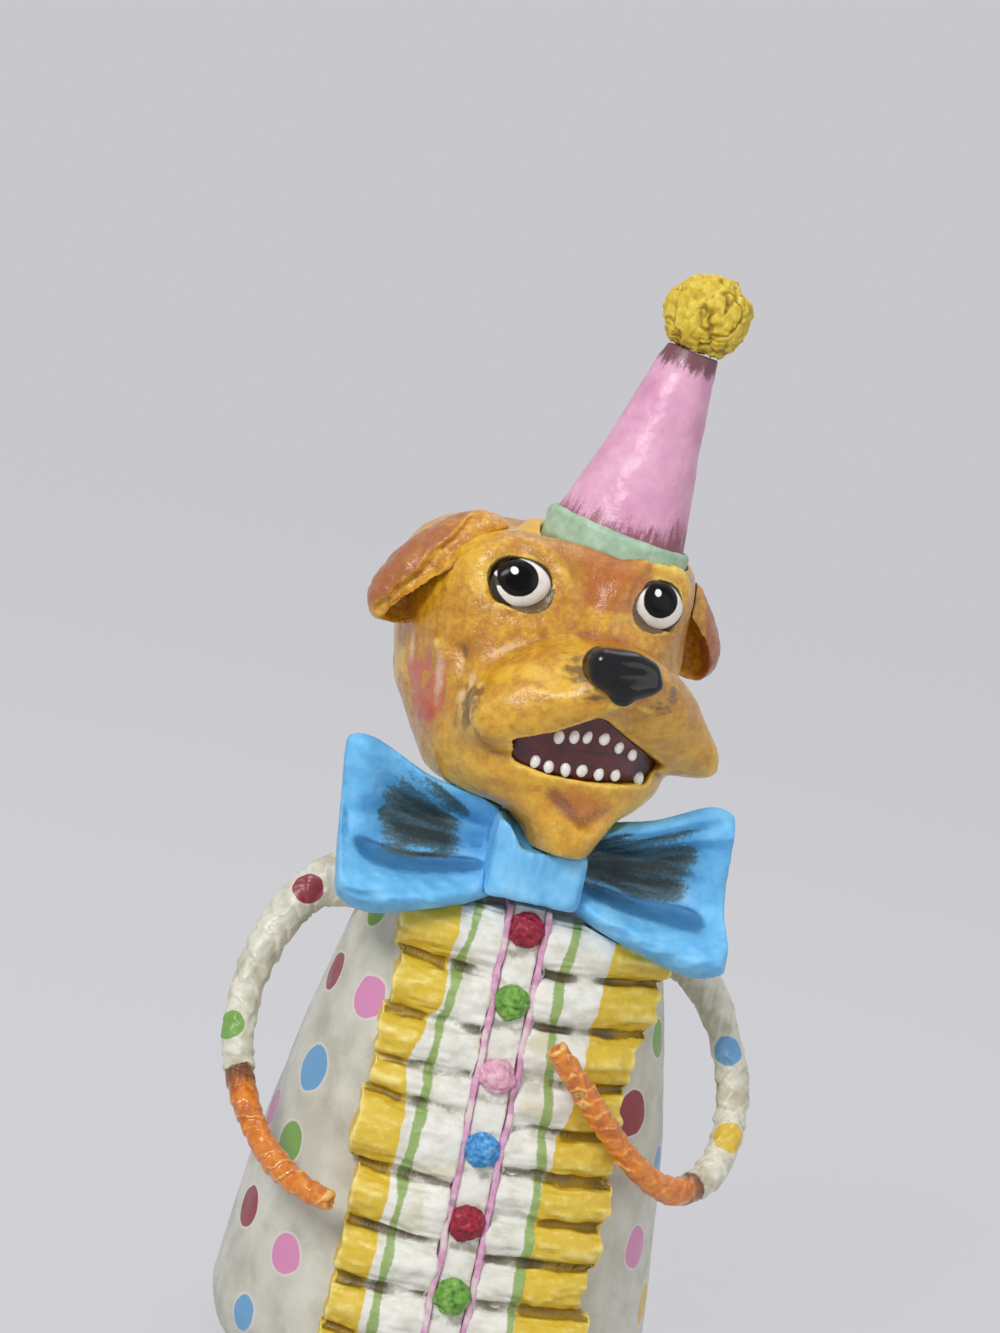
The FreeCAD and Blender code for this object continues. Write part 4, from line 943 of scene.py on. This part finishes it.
def make_ears():
    for one, name in ((-1, "ear_right"), (1, "ear_left")):
        clay = taken_from(f"{name}_flap", name, voxel=0.34)
        clay.relax(8)
        points = clay.points
        middle = points.mean(0)
        long_way = np.linalg.svd((points - middle)[::7], full_matrices=False)[2][0]
        over_way = np.cross(long_way, (0, 1, 0))
        over_way /= np.linalg.norm(over_way) * np.sign(over_way[2])
        along, over = (points - middle) @ long_way, (points - middle) @ over_way
        over = over + 0.06 * along * np.sign(long_way[2]) * one + 0.9 * cloud(points, 4, 140, 2)
        front = ease(-clay.normals()[:, 1], -0.1, 0.5)
        bowl = (1 - ease(over, -0.4, 1.2)) * (1 - ease(np.abs(along), 11.5, 14.5))
        lumps = 0.5 * np.abs(cloud(points, 2.4, 139, 2))
        points[:, 1] += front * bowl * ((1.9 if one < 0 else 0.7) - lumps)
        lumpy = 0.45 * cloud(points, 6, 141 + one, 2) + 0.3 * cloud(points, 2.6, 143, 2)
        clay.push(lumpy + 0.12 * cloud(points, 1.1, 144))
        clay.polish(1)
        clay.mask("rim", ease(over, 0.0, 1.8) * (0.85 + 0.4 * cloud(points, 5, 145, 2)))
        clay.mask("pit", clay.hollows(10))
        finish = Finish(f"varnished_{name}", EAR_OCHRE, mottle=1.6, seed=103)
        finish.layer("rim", paint(160, 84, 44), 0.30, 0.75, grain=1.2, ragged=0.7, strength=0.85)
        finish.layer("rim", paint(204, 146, 118), 0.90, 1.15, grain=0.8, ragged=0.7, strength=0.5)
        finish.layer("pit", paint(104, 58, 14), 0.06, 0.30, grain=0.7, ragged=0.2, strength=0.7)
        finish.layer(None, paint(92, 50, 14), 0.17, 0.24, grain=0.6, ragged=1.0, strength=0.5)
        clay.done(finish.skin(rough=(0.25, 0.5), coat=0.5, coat_rough=0.18, grain=(0.55, 0.14),
                              dents=(2.2, 0.35)), name, slot="ear_brown")


# Hat


POMPOM_RISE, POMPOM_RADIUS = 46.1, 8.7


def make_cone():
    clay = taken_from("hat_painted", "hat_cone", voxel=0.4)
    clay.polish(4)
    local = on_hat(clay.points)
    clay.push(0.5 * cloud(local, (9, 9, 14), 151, 2) + 0.16 * cloud(local, 2.4, 152, 2))
    local = on_hat(clay.points)
    angle = np.arctan2(local[:, 0], -local[:, 1])
    round_it = rolled_out(angle, 6, local[:, 2] * 0.14)
    strokes = 0.7 * cloud(round_it, 0.5, 154, 3) + 0.5 * cloud(round_it * (2.6, 2.6, 1.5), 0.5, 155, 2)
    height = 8.0 + 2.5 * np.sin(angle - 0.4) + 4.2 * strokes
    clay.mask("low", (height - local[:, 2]) / 6)
    clay.mask("high", (local[:, 2] - 34.2 + 2.4 * strokes) / 3)
    clay.mask("hollow", clay.hollows(16))
    finish = Finish("painted_pink", (paint(206, 138, 174), paint(220, 158, 190), paint(230, 178, 204)), 6.0, 111)
    finish.layer("hollow", paint(186, 110, 152), 0.1, 0.5, grain=2.0, ragged=0.3, strength=0.6)
    finish.layer(None, paint(236, 204, 220), 0.12, 0.24, grain=1.6, ragged=1.0, strength=0.4)
    finish.layer("low", paint(126, 50, 66), 0.10, 0.90, grain=0.4, ragged=1.3, strength=0.85)
    finish.layer("high", paint(92, 42, 40), 0.10, 0.80, grain=0.4, ragged=1.2, strength=0.88)
    clay.done(finish.skin(rough=(0.35, 0.55), coat=0.2, coat_rough=0.25, grain=(0.6, 0.06), dents=(4.0, 0.22)),
              "hat_cone", slot="hat_pink")


def make_hat_band():
    clay = taken_from("hat_band_painted", "hat_band", voxel=0.3)
    clay.relax(3)
    local = on_hat(clay.points)
    clay.push(0.3 * cloud(local, (5, 5, 3), 161, 2) + 0.08 * cloud(local, 1.2, 162, 2))
    # Darker towards the band's lower edge.
    clay.mask("darkening", -(on_hat(clay.points)[:, 2] + 2.5) / 2 + 0.3 * cloud(local, 3, 163, 2))
    clay.mask("hollow", clay.hollows(12))
    finish = Finish("painted_sage", (paint(140, 172, 144), paint(164, 194, 166), paint(184, 210, 184)), 3.0, 115)
    finish.layer("darkening", paint(116, 112, 62), 0.1, 0.9, grain=1.0, ragged=0.6, strength=0.7)
    finish.layer("hollow", paint(112, 138, 108), 0.1, 0.35, grain=1.0, ragged=0.2, strength=0.6)
    clay.done(finish.skin(rough=(0.4, 0.6), coat=0.1, coat_rough=0.3, grain=(0.5, 0.06), dents=(2.6, 0.16)),
              "hat_band", slot="band_green")


def make_pompom():
    """A ball of tufts, with clefts that wander between them."""
    clay = taken_from("pompom", "hat_pompom", voxel=0.32)
    local = on_hat(clay.points)
    centre = np.array([0, 0, POMPOM_RISE])
    way = (local - centre) / np.linalg.norm(local - centre, axis=1)[:, None]
    ball = way * POMPOM_RADIUS
    wander = 1.4 * np.stack([cloud(ball, 3.5, 170 + axis, 2) for axis in range(3)], 1)
    tufts = cloud(ball, (3.2, 3.2, 4.2), 174, 2)
    clefts = 1 - ease(np.abs(cloud(ball + wander, (3.2, 3.2, 5.0), 175, 2)), 0, 0.22)
    small = 1 - ease(np.abs(cloud(ball + wander, (1.7, 1.7, 2.4), 176, 1)), 0, 0.28)
    clay.push(-0.2 + 0.9 * tufts - 0.6 * clefts - 0.4 * small + 0.25 * cloud(ball, 0.9, 177))
    clay.mask("cleft", 0.6 * clefts + 0.3 * small + clay.hollows(8))
    clay.mask("low", (40.6 - on_hat(clay.points)[:, 2]) / 3 + 0.4 * cloud(local, 2, 178))
    finish = Finish("painted_mustard", (paint(190, 156, 26), paint(218, 188, 48), paint(236, 212, 96)), 1.8, 121)
    finish.layer("cleft", paint(146, 118, 20), 0.30, 0.62, grain=0.7, ragged=0.4, strength=0.75)
    finish.layer("cleft", paint(96, 78, 20), 0.75, 1.15, grain=0.5, ragged=0.6, strength=0.6)
    finish.layer("low", paint(96, 60, 34), 0.3, 0.9, grain=0.7, ragged=0.8, strength=0.7)
    clay.done(finish.skin(rough=(0.4, 0.65), patch=1.5, coat=0.1, grain=(0.45, 0.16), dents=(1.2, 0.3)),
              "hat_pompom", slot="pompom_mustard")


# Arms

# Each arm's middle line from the shoulder to the tip, as the wire in it runs.
ARM_ROUTES = {
    -1: ((-25.9, -0.2, 94.0), (-42.4, -1.1, 90.4), (-46.8, -3.9, 83.1), (-49.4, -7.0, 75.8),
         (-50.6, -11.0, 68.5), (-50.3, -16.0, 61.8), (-48.9, -20.4, 57.1), (-44.5, -28.0, 49.3),
         (-39.9, -34.0, 45.1), (-33.9, -40.1, 42.5), (-28.3, -44.1, 42.0)),
    1: ((25.9, -0.7, 94.0), (36.8, -2.3, 91.6), (40.8, -3.6, 87.6), (44.5, -5.8, 82.4), (47.3, -8.8, 76.4),
        (48.8, -11.7, 70.8), (49.0, -15.7, 64.4), (47.0, -21.9, 58.0), (41.9, -28.8, 54.0), (35.3, -34.7, 54.0),
        (26.9, -39.1, 59.2), (18.6, -41.7, 67.2), (11.9, -42.9, 74.0), (7.3, -43.8, 78.8)),
}
ARM_DOTS = {
    -1: [((-42.5, -5.1, 92.0), 3.2, "crimson"), ((-52.6, -16.7, 64.6), 3.0, "green"),
         ((-51, -1, 78), 2.8, "pink"), ((-47, 2, 86), 2.8, "yellow")],
    1: [((46.1, -11.5, 77.8), 3.0, "blue"), ((48.4, -20.9, 63.0), 3.2, "yellow"),
        ((48.5, 0, 80), 2.8, "pink"), ((40, 2, 91), 2.8, "crimson")],
}
SLEEVE_WHITE = (paint(186, 183, 162), paint(214, 211, 194), paint(230, 228, 214))
PAW_ORANGE = (paint(190, 92, 8), paint(218, 122, 20), paint(236, 152, 40))

# Points are matched with their route this many at a time, to spare memory.
BATCH = 4000


def fine_route(route, step=0.5):
    """The route as closely spaced points, with each one's direction and its distance from the start."""
    route = np.asarray(route, float)
    padded = np.vstack([2 * route[0] - route[1], route, 2 * route[-1] - route[-2]])
    line = []
    for a, b, c, d in zip(padded, padded[1:], padded[2:], padded[3:]):
        count = max(2, int(np.linalg.norm(c - b) / step))
        for share in np.linspace(0, 1, count, endpoint=False):
            line.append(0.5 * (2 * b + (c - a) * share + (2 * a - 5 * b + 4 * c - d) * share**2
                               + (3 * b - a - 3 * c + d) * share**3))
    line.append(route[-1])
    line = np.array(line)
    ways = np.gradient(line, axis=0)
    ways /= np.linalg.norm(ways, axis=1)[:, None]
    far = np.concatenate([[0], np.cumsum(np.linalg.norm(np.diff(line, axis=0), axis=1))])
    return line, ways, far


def wrapped(clay, route, seed, pitch=4.6, lap=0.62, starts=2):
    """Turns of bandage round the route: each lap steps down onto the next, with wrinkles between."""
    line, ways, far = fine_route(route)
    nearest = np.empty(len(clay.points), int)
    for start in range(0, len(clay.points), BATCH):
        block = clay.points[start:start + BATCH]
        nearest[start:start + BATCH] = np.argmin(((block[:, None] - line[None]) ** 2).sum(2), axis=1)
    across = np.cross(ways, (0, 0.3, 1.0))
    across /= np.linalg.norm(across, axis=1)[:, None]
    other = np.cross(ways, across)
    out = clay.points - line[nearest]
    angle = np.arctan2(np.sum(out * other[nearest], 1), np.sum(out * across[nearest], 1))
    along = far[nearest] + np.sum(out * ways[nearest], 1)
    uneven = 0.42 * cloud(rolled_out(angle, 2, along * 0.35), 2.0, seed, 2)
    phase = along / pitch + starts * angle / (2 * math.pi) + uneven + 0.35 * np.sin(along / 6.0 + seed)
    share = phase - np.floor(phase)
    rise = np.minimum(share / 0.84, (1 - share) / 0.16)
    strength = 0.65 + 0.5 * cloud(rolled_out(angle, 2, along), 5.0, seed + 3)
    turn = angle - along / 7
    wrinkle = 0.36 * cloud(rolled_out(turn, 3, along * 0.6), (1.1, 1.1, 2.4), seed + 1, 2)
    return lap * strength * (rise - 0.45), wrinkle, along, far[-1]


def make_sleeve(one, word):
    clay = taken_from(f"sleeve_{word}_wrap", f"sleeve_{word}", voxel=0.34)
    step, wrinkle, _, _ = wrapped(clay, ARM_ROUTES[one], 180 + one)
    clay.push(step + wrinkle + 0.25 * cloud(clay.points, 4.5, 184, 2))
    clay.polish(1)
    dotted(clay, ARM_DOTS[one], uneven=0.15, seed=9)
    # Painted shade: the undersides and the wrap grooves darken, over random stains.
    shaded_underside = ease(clay.normals() @ np.array([-one * 0.6, 0.2, -0.7]), 0.1, 0.9)
    stain = cloud(clay.points, (5, 5, 7), 186, 2)
    clay.mask("groove", clay.hollows(9) + 0.10 * shaded_underside + 0.10 * stain)
    clay.mask("stain", stain + 0.35 * shaded_underside)
    finish = Finish(f"painted_sleeve_{word}", SLEEVE_WHITE, mottle=3, seed=130)
    finish.layer("stain", paint(158, 148, 112), 0.15, 0.75, grain=1.4, ragged=0.5, strength=0.55)
    finish.layer("groove", OLIVE, 0.08, 0.28, grain=0.7, ragged=0.25, strength=0.75)
    finish.layer("groove", UMBER, 0.26, 0.5, grain=0.7, ragged=0.3, strength=0.7)
    dot_layers(finish, paint(220, 214, 200))
    clay.done(finish.skin(rough=(0.3, 0.5), coat=0.25, coat_rough=0.2, grain=(0.6, 0.08), dents=(2.4, 0.2)),
              f"sleeve_{word}", slot="sleeve_white")


def make_paw(one, word):
    clay = taken_from(f"paw_{word}_wrap", f"paw_{word}", voxel=0.26)
    step, wrinkle, along, length = wrapped(clay, ARM_ROUTES[one], 190 + one, pitch=3.6, lap=0.55)
    over_the_end = 0.4 * ease(along, length - 24, length - 14)
    clay.push(step + 0.55 * wrinkle + 0.1 * cloud(clay.points, 3, 194, 2) + over_the_end)
    clay.polish(1)
    clay.mask("wrist", (along.min() + 7 - along) / 7 + 0.3 * cloud(clay.points, 2.5, 195, 2))
    # Painted shade in the wrap grooves and painted highlight on their ridges.
    hollow = clay.hollows(9)
    clay.mask("groove", hollow)
    clay.mask("ridge", -hollow)
    clay.mask("stain", cloud(clay.points, (4, 4, 5), 196, 2))
    finish = Finish(f"varnished_paw_{word}", PAW_ORANGE, mottle=1.8, seed=140)
    finish.layer("stain", paint(176, 80, 12), 0.1, 0.5, grain=1.0, ragged=0.5, strength=0.6)
    finish.layer("groove", paint(110, 48, 10), 0.04, 0.20, grain=0.6, ragged=0.2, strength=0.8)
    finish.layer("ridge", paint(248, 202, 110), 0.05, 0.18, grain=0.8, ragged=0.25, strength=0.7)
    finish.layer("wrist", paint(84, 42, 16), 0.2, 0.9, grain=1.0, ragged=0.7, strength=0.85)
    clay.done(finish.skin(rough=(0.2, 0.4), coat=0.6, coat_rough=0.14, grain=(0.6, 0.05), dents=(1.8, 0.12)),
              f"paw_{word}", slot="paw_orange")


# Pieces that keep the casting's own shape


def finish_kept_nodes():
    plaster = Finish("raw_plaster", (paint(206, 200, 188), paint(226, 221, 210), paint(236, 232, 224)), 4.0, 150)
    felt = Finish("green_felt", (paint(34, 58, 42), paint(46, 74, 54), paint(62, 90, 68)), 0.8, 152)
    wood = Finish("birch_peg", (paint(158, 122, 78), paint(184, 148, 102), paint(204, 172, 128)), 2.0, 154)
    wire = Finish("drawn_wire", (paint(120, 120, 122), paint(150, 150, 152), paint(176, 176, 178)), 1.0, 156)
    wire.shader.inputs["Metallic"].default_value = 1.0
    kept = {
        "base_plug": plaster.skin(rough=(0.7, 0.9), grain=(0.5, 0.08)),
        "felt_pad": felt.skin(rough=(0.9, 1.0), grain=(0.25, 0.25), dents=(2.0, 0.2)),
        "neck_dowel": wood.skin(rough=(0.5, 0.7), grain=(0.4, 0.04)),
        "arm_wire_right": wire.skin(rough=(0.3, 0.45), grain=(0.3, 0.01), dents=(1.0, 0.01)),
    }
    kept["arm_wire_left"] = kept["arm_wire_right"]
    for name, material in kept.items():
        node = NODES[name]
        node.data.materials.clear()
        node.data.materials.append(material)


# Studio


CAMERA_AZIMUTH, CAMERA_ELEVATION, CAMERA_ROLL = -6.2, 6.0, 12.7
CAMERA_SIDE, CAMERA_RISE, CAMERA_DISTANCE = -0.0142, 0.1426, 0.6
SENSOR_MM, LENS_PIXELS, PICTURE_PIXELS = 36, 3000, 1333
LAMP_AIM = Vector((0, 0, 0.12))
FLOOR_HALF = 3.0


def make_camera():
    """Stands where the photographer stood, tipped so that the figure leans to the right."""
    azimuth, elevation = math.radians(CAMERA_AZIMUTH), math.radians(CAMERA_ELEVATION)
    roll = math.radians(CAMERA_ROLL)
    back = Vector((math.sin(azimuth) * math.cos(elevation), -math.cos(azimuth) * math.cos(elevation),
                   math.sin(elevation)))
    right = (-back).cross(Vector((0, 0, 1))).normalized()
    up = right.cross(-back)
    place = right * CAMERA_SIDE + Vector((0, 0, CAMERA_RISE)) + back * CAMERA_DISTANCE
    across = right * math.cos(roll) + up * math.sin(roll)
    upright = up * math.cos(roll) - right * math.sin(roll)
    data = bpy.data.cameras.new("camera")
    data.sensor_width = SENSOR_MM
    data.lens = SENSOR_MM * LENS_PIXELS / PICTURE_PIXELS
    data.clip_start, data.clip_end = 0.02, 50
    camera = bpy.data.objects.new("camera", data)
    camera.matrix_world = Matrix((across, upright, back)).transposed().to_4x4()
    camera.location = place
    bpy.context.scene.collection.objects.link(camera)
    bpy.context.scene.camera = camera


def make_lamp(name, place, size, power):
    data = bpy.data.lights.new(name, "AREA")
    data.shape = "DISK"
    data.size = size
    data.energy = power
    lamp = bpy.data.objects.new(name, data)
    lamp.location = place
    lamp.rotation_mode = "QUATERNION"
    lamp.rotation_quaternion = (LAMP_AIM - Vector(place)).to_track_quat("-Z", "Y")
    bpy.context.scene.collection.objects.link(lamp)


def pale_behind(tree, lit, seen):
    """Lights with one shader, and shows another to the camera, to reflections and through glass."""
    rays = tree.nodes.new("ShaderNodeLightPath")
    both = None
    for ray in ("Is Camera Ray", "Is Glossy Ray", "Is Transmission Ray"):
        if both is None:
            both = rays.outputs[ray]
            continue
        node = tree.nodes.new("ShaderNodeMath")
        node.operation = "MAXIMUM"
        tree.links.new(both, node.inputs[0])
        tree.links.new(rays.outputs[ray], node.inputs[1])
        both = node.outputs[0]
    mix = tree.nodes.new("ShaderNodeMixShader")
    tree.links.new(both, mix.inputs[0])
    tree.links.new(lit, mix.inputs[1])
    tree.links.new(seen, mix.inputs[2])
    return mix.outputs[0]


def make_studio():
    world = bpy.data.worlds.new("studio")
    world.use_nodes = True
    tree = world.node_tree
    tree.nodes.clear()
    output = tree.nodes.new("ShaderNodeOutputWorld")
    shaders = []
    for colour, strength in (((1, 1, 1), 0.42), (BACKDROP, 1.0)):
        node = tree.nodes.new("ShaderNodeBackground")
        node.inputs["Color"].default_value = (*colour, 1)
        node.inputs["Strength"].default_value = strength
        shaders.append(node.outputs[0])
    tree.links.new(pale_behind(tree, *shaders), output.inputs[0])
    bpy.context.scene.world = world

    mesh = bpy.data.meshes.new("floor")
    corners = [(x * FLOOR_HALF, y * FLOOR_HALF, 0) for x, y in ((-1, -1), (1, -1), (1, 1), (-1, 1))]
    mesh.from_pydata(corners, [], [(0, 1, 2, 3)])
    floor = bpy.data.objects.new("floor", mesh)
    bpy.context.scene.collection.objects.link(floor)
    material = bpy.data.materials.new("pale_floor")
    material.use_nodes = True
    tree = material.node_tree
    tree.nodes.clear()
    output = tree.nodes.new("ShaderNodeOutputMaterial")
    matt = tree.nodes.new("ShaderNodeBsdfDiffuse")
    matt.inputs["Color"].default_value = (*BACKDROP, 1)
    glow = tree.nodes.new("ShaderNodeEmission")
    glow.inputs["Color"].default_value = (*BACKDROP, 1)
    glow.inputs["Strength"].default_value = 1.14
    seen = tree.nodes.new("ShaderNodeMixShader")
    seen.inputs[0].default_value = 0.8
    tree.links.new(matt.outputs[0], seen.inputs[1])
    tree.links.new(glow.outputs[0], seen.inputs[2])
    tree.links.new(pale_behind(tree, matt.outputs[0], seen.outputs[0]), output.inputs[0])
    mesh.materials.append(material)

    make_lamp("key", (-0.55, -0.75, 0.75), size=0.42, power=7.4)
    make_lamp("fill", (0.85, -0.65, 0.35), size=0.9, power=2.2)
    make_lamp("top", (0.1, 0.25, 1.0), size=0.7, power=2.4)
    bpy.context.scene.view_settings.view_transform = "Standard"


make_camera()
make_studio()
make_body()
make_ruffle(-1, "ruffle_right")
make_ruffle(1, "ruffle_left")
make_placket()
make_piping(-1, "piping_right")
make_piping(1, "piping_left")
make_buttons()
make_bow()
make_head()
make_mouth()
make_teeth("upper_teeth", "teeth_above", 201)
make_teeth("lower_teeth", "teeth_below", 202)
make_eyes()
make_nose()
make_ears()
make_cone()
make_hat_band()
make_pompom()
for one, word in ((-1, "right"), (1, "left")):
    make_sleeve(one, word)
    make_paw(one, word)
finish_kept_nodes()
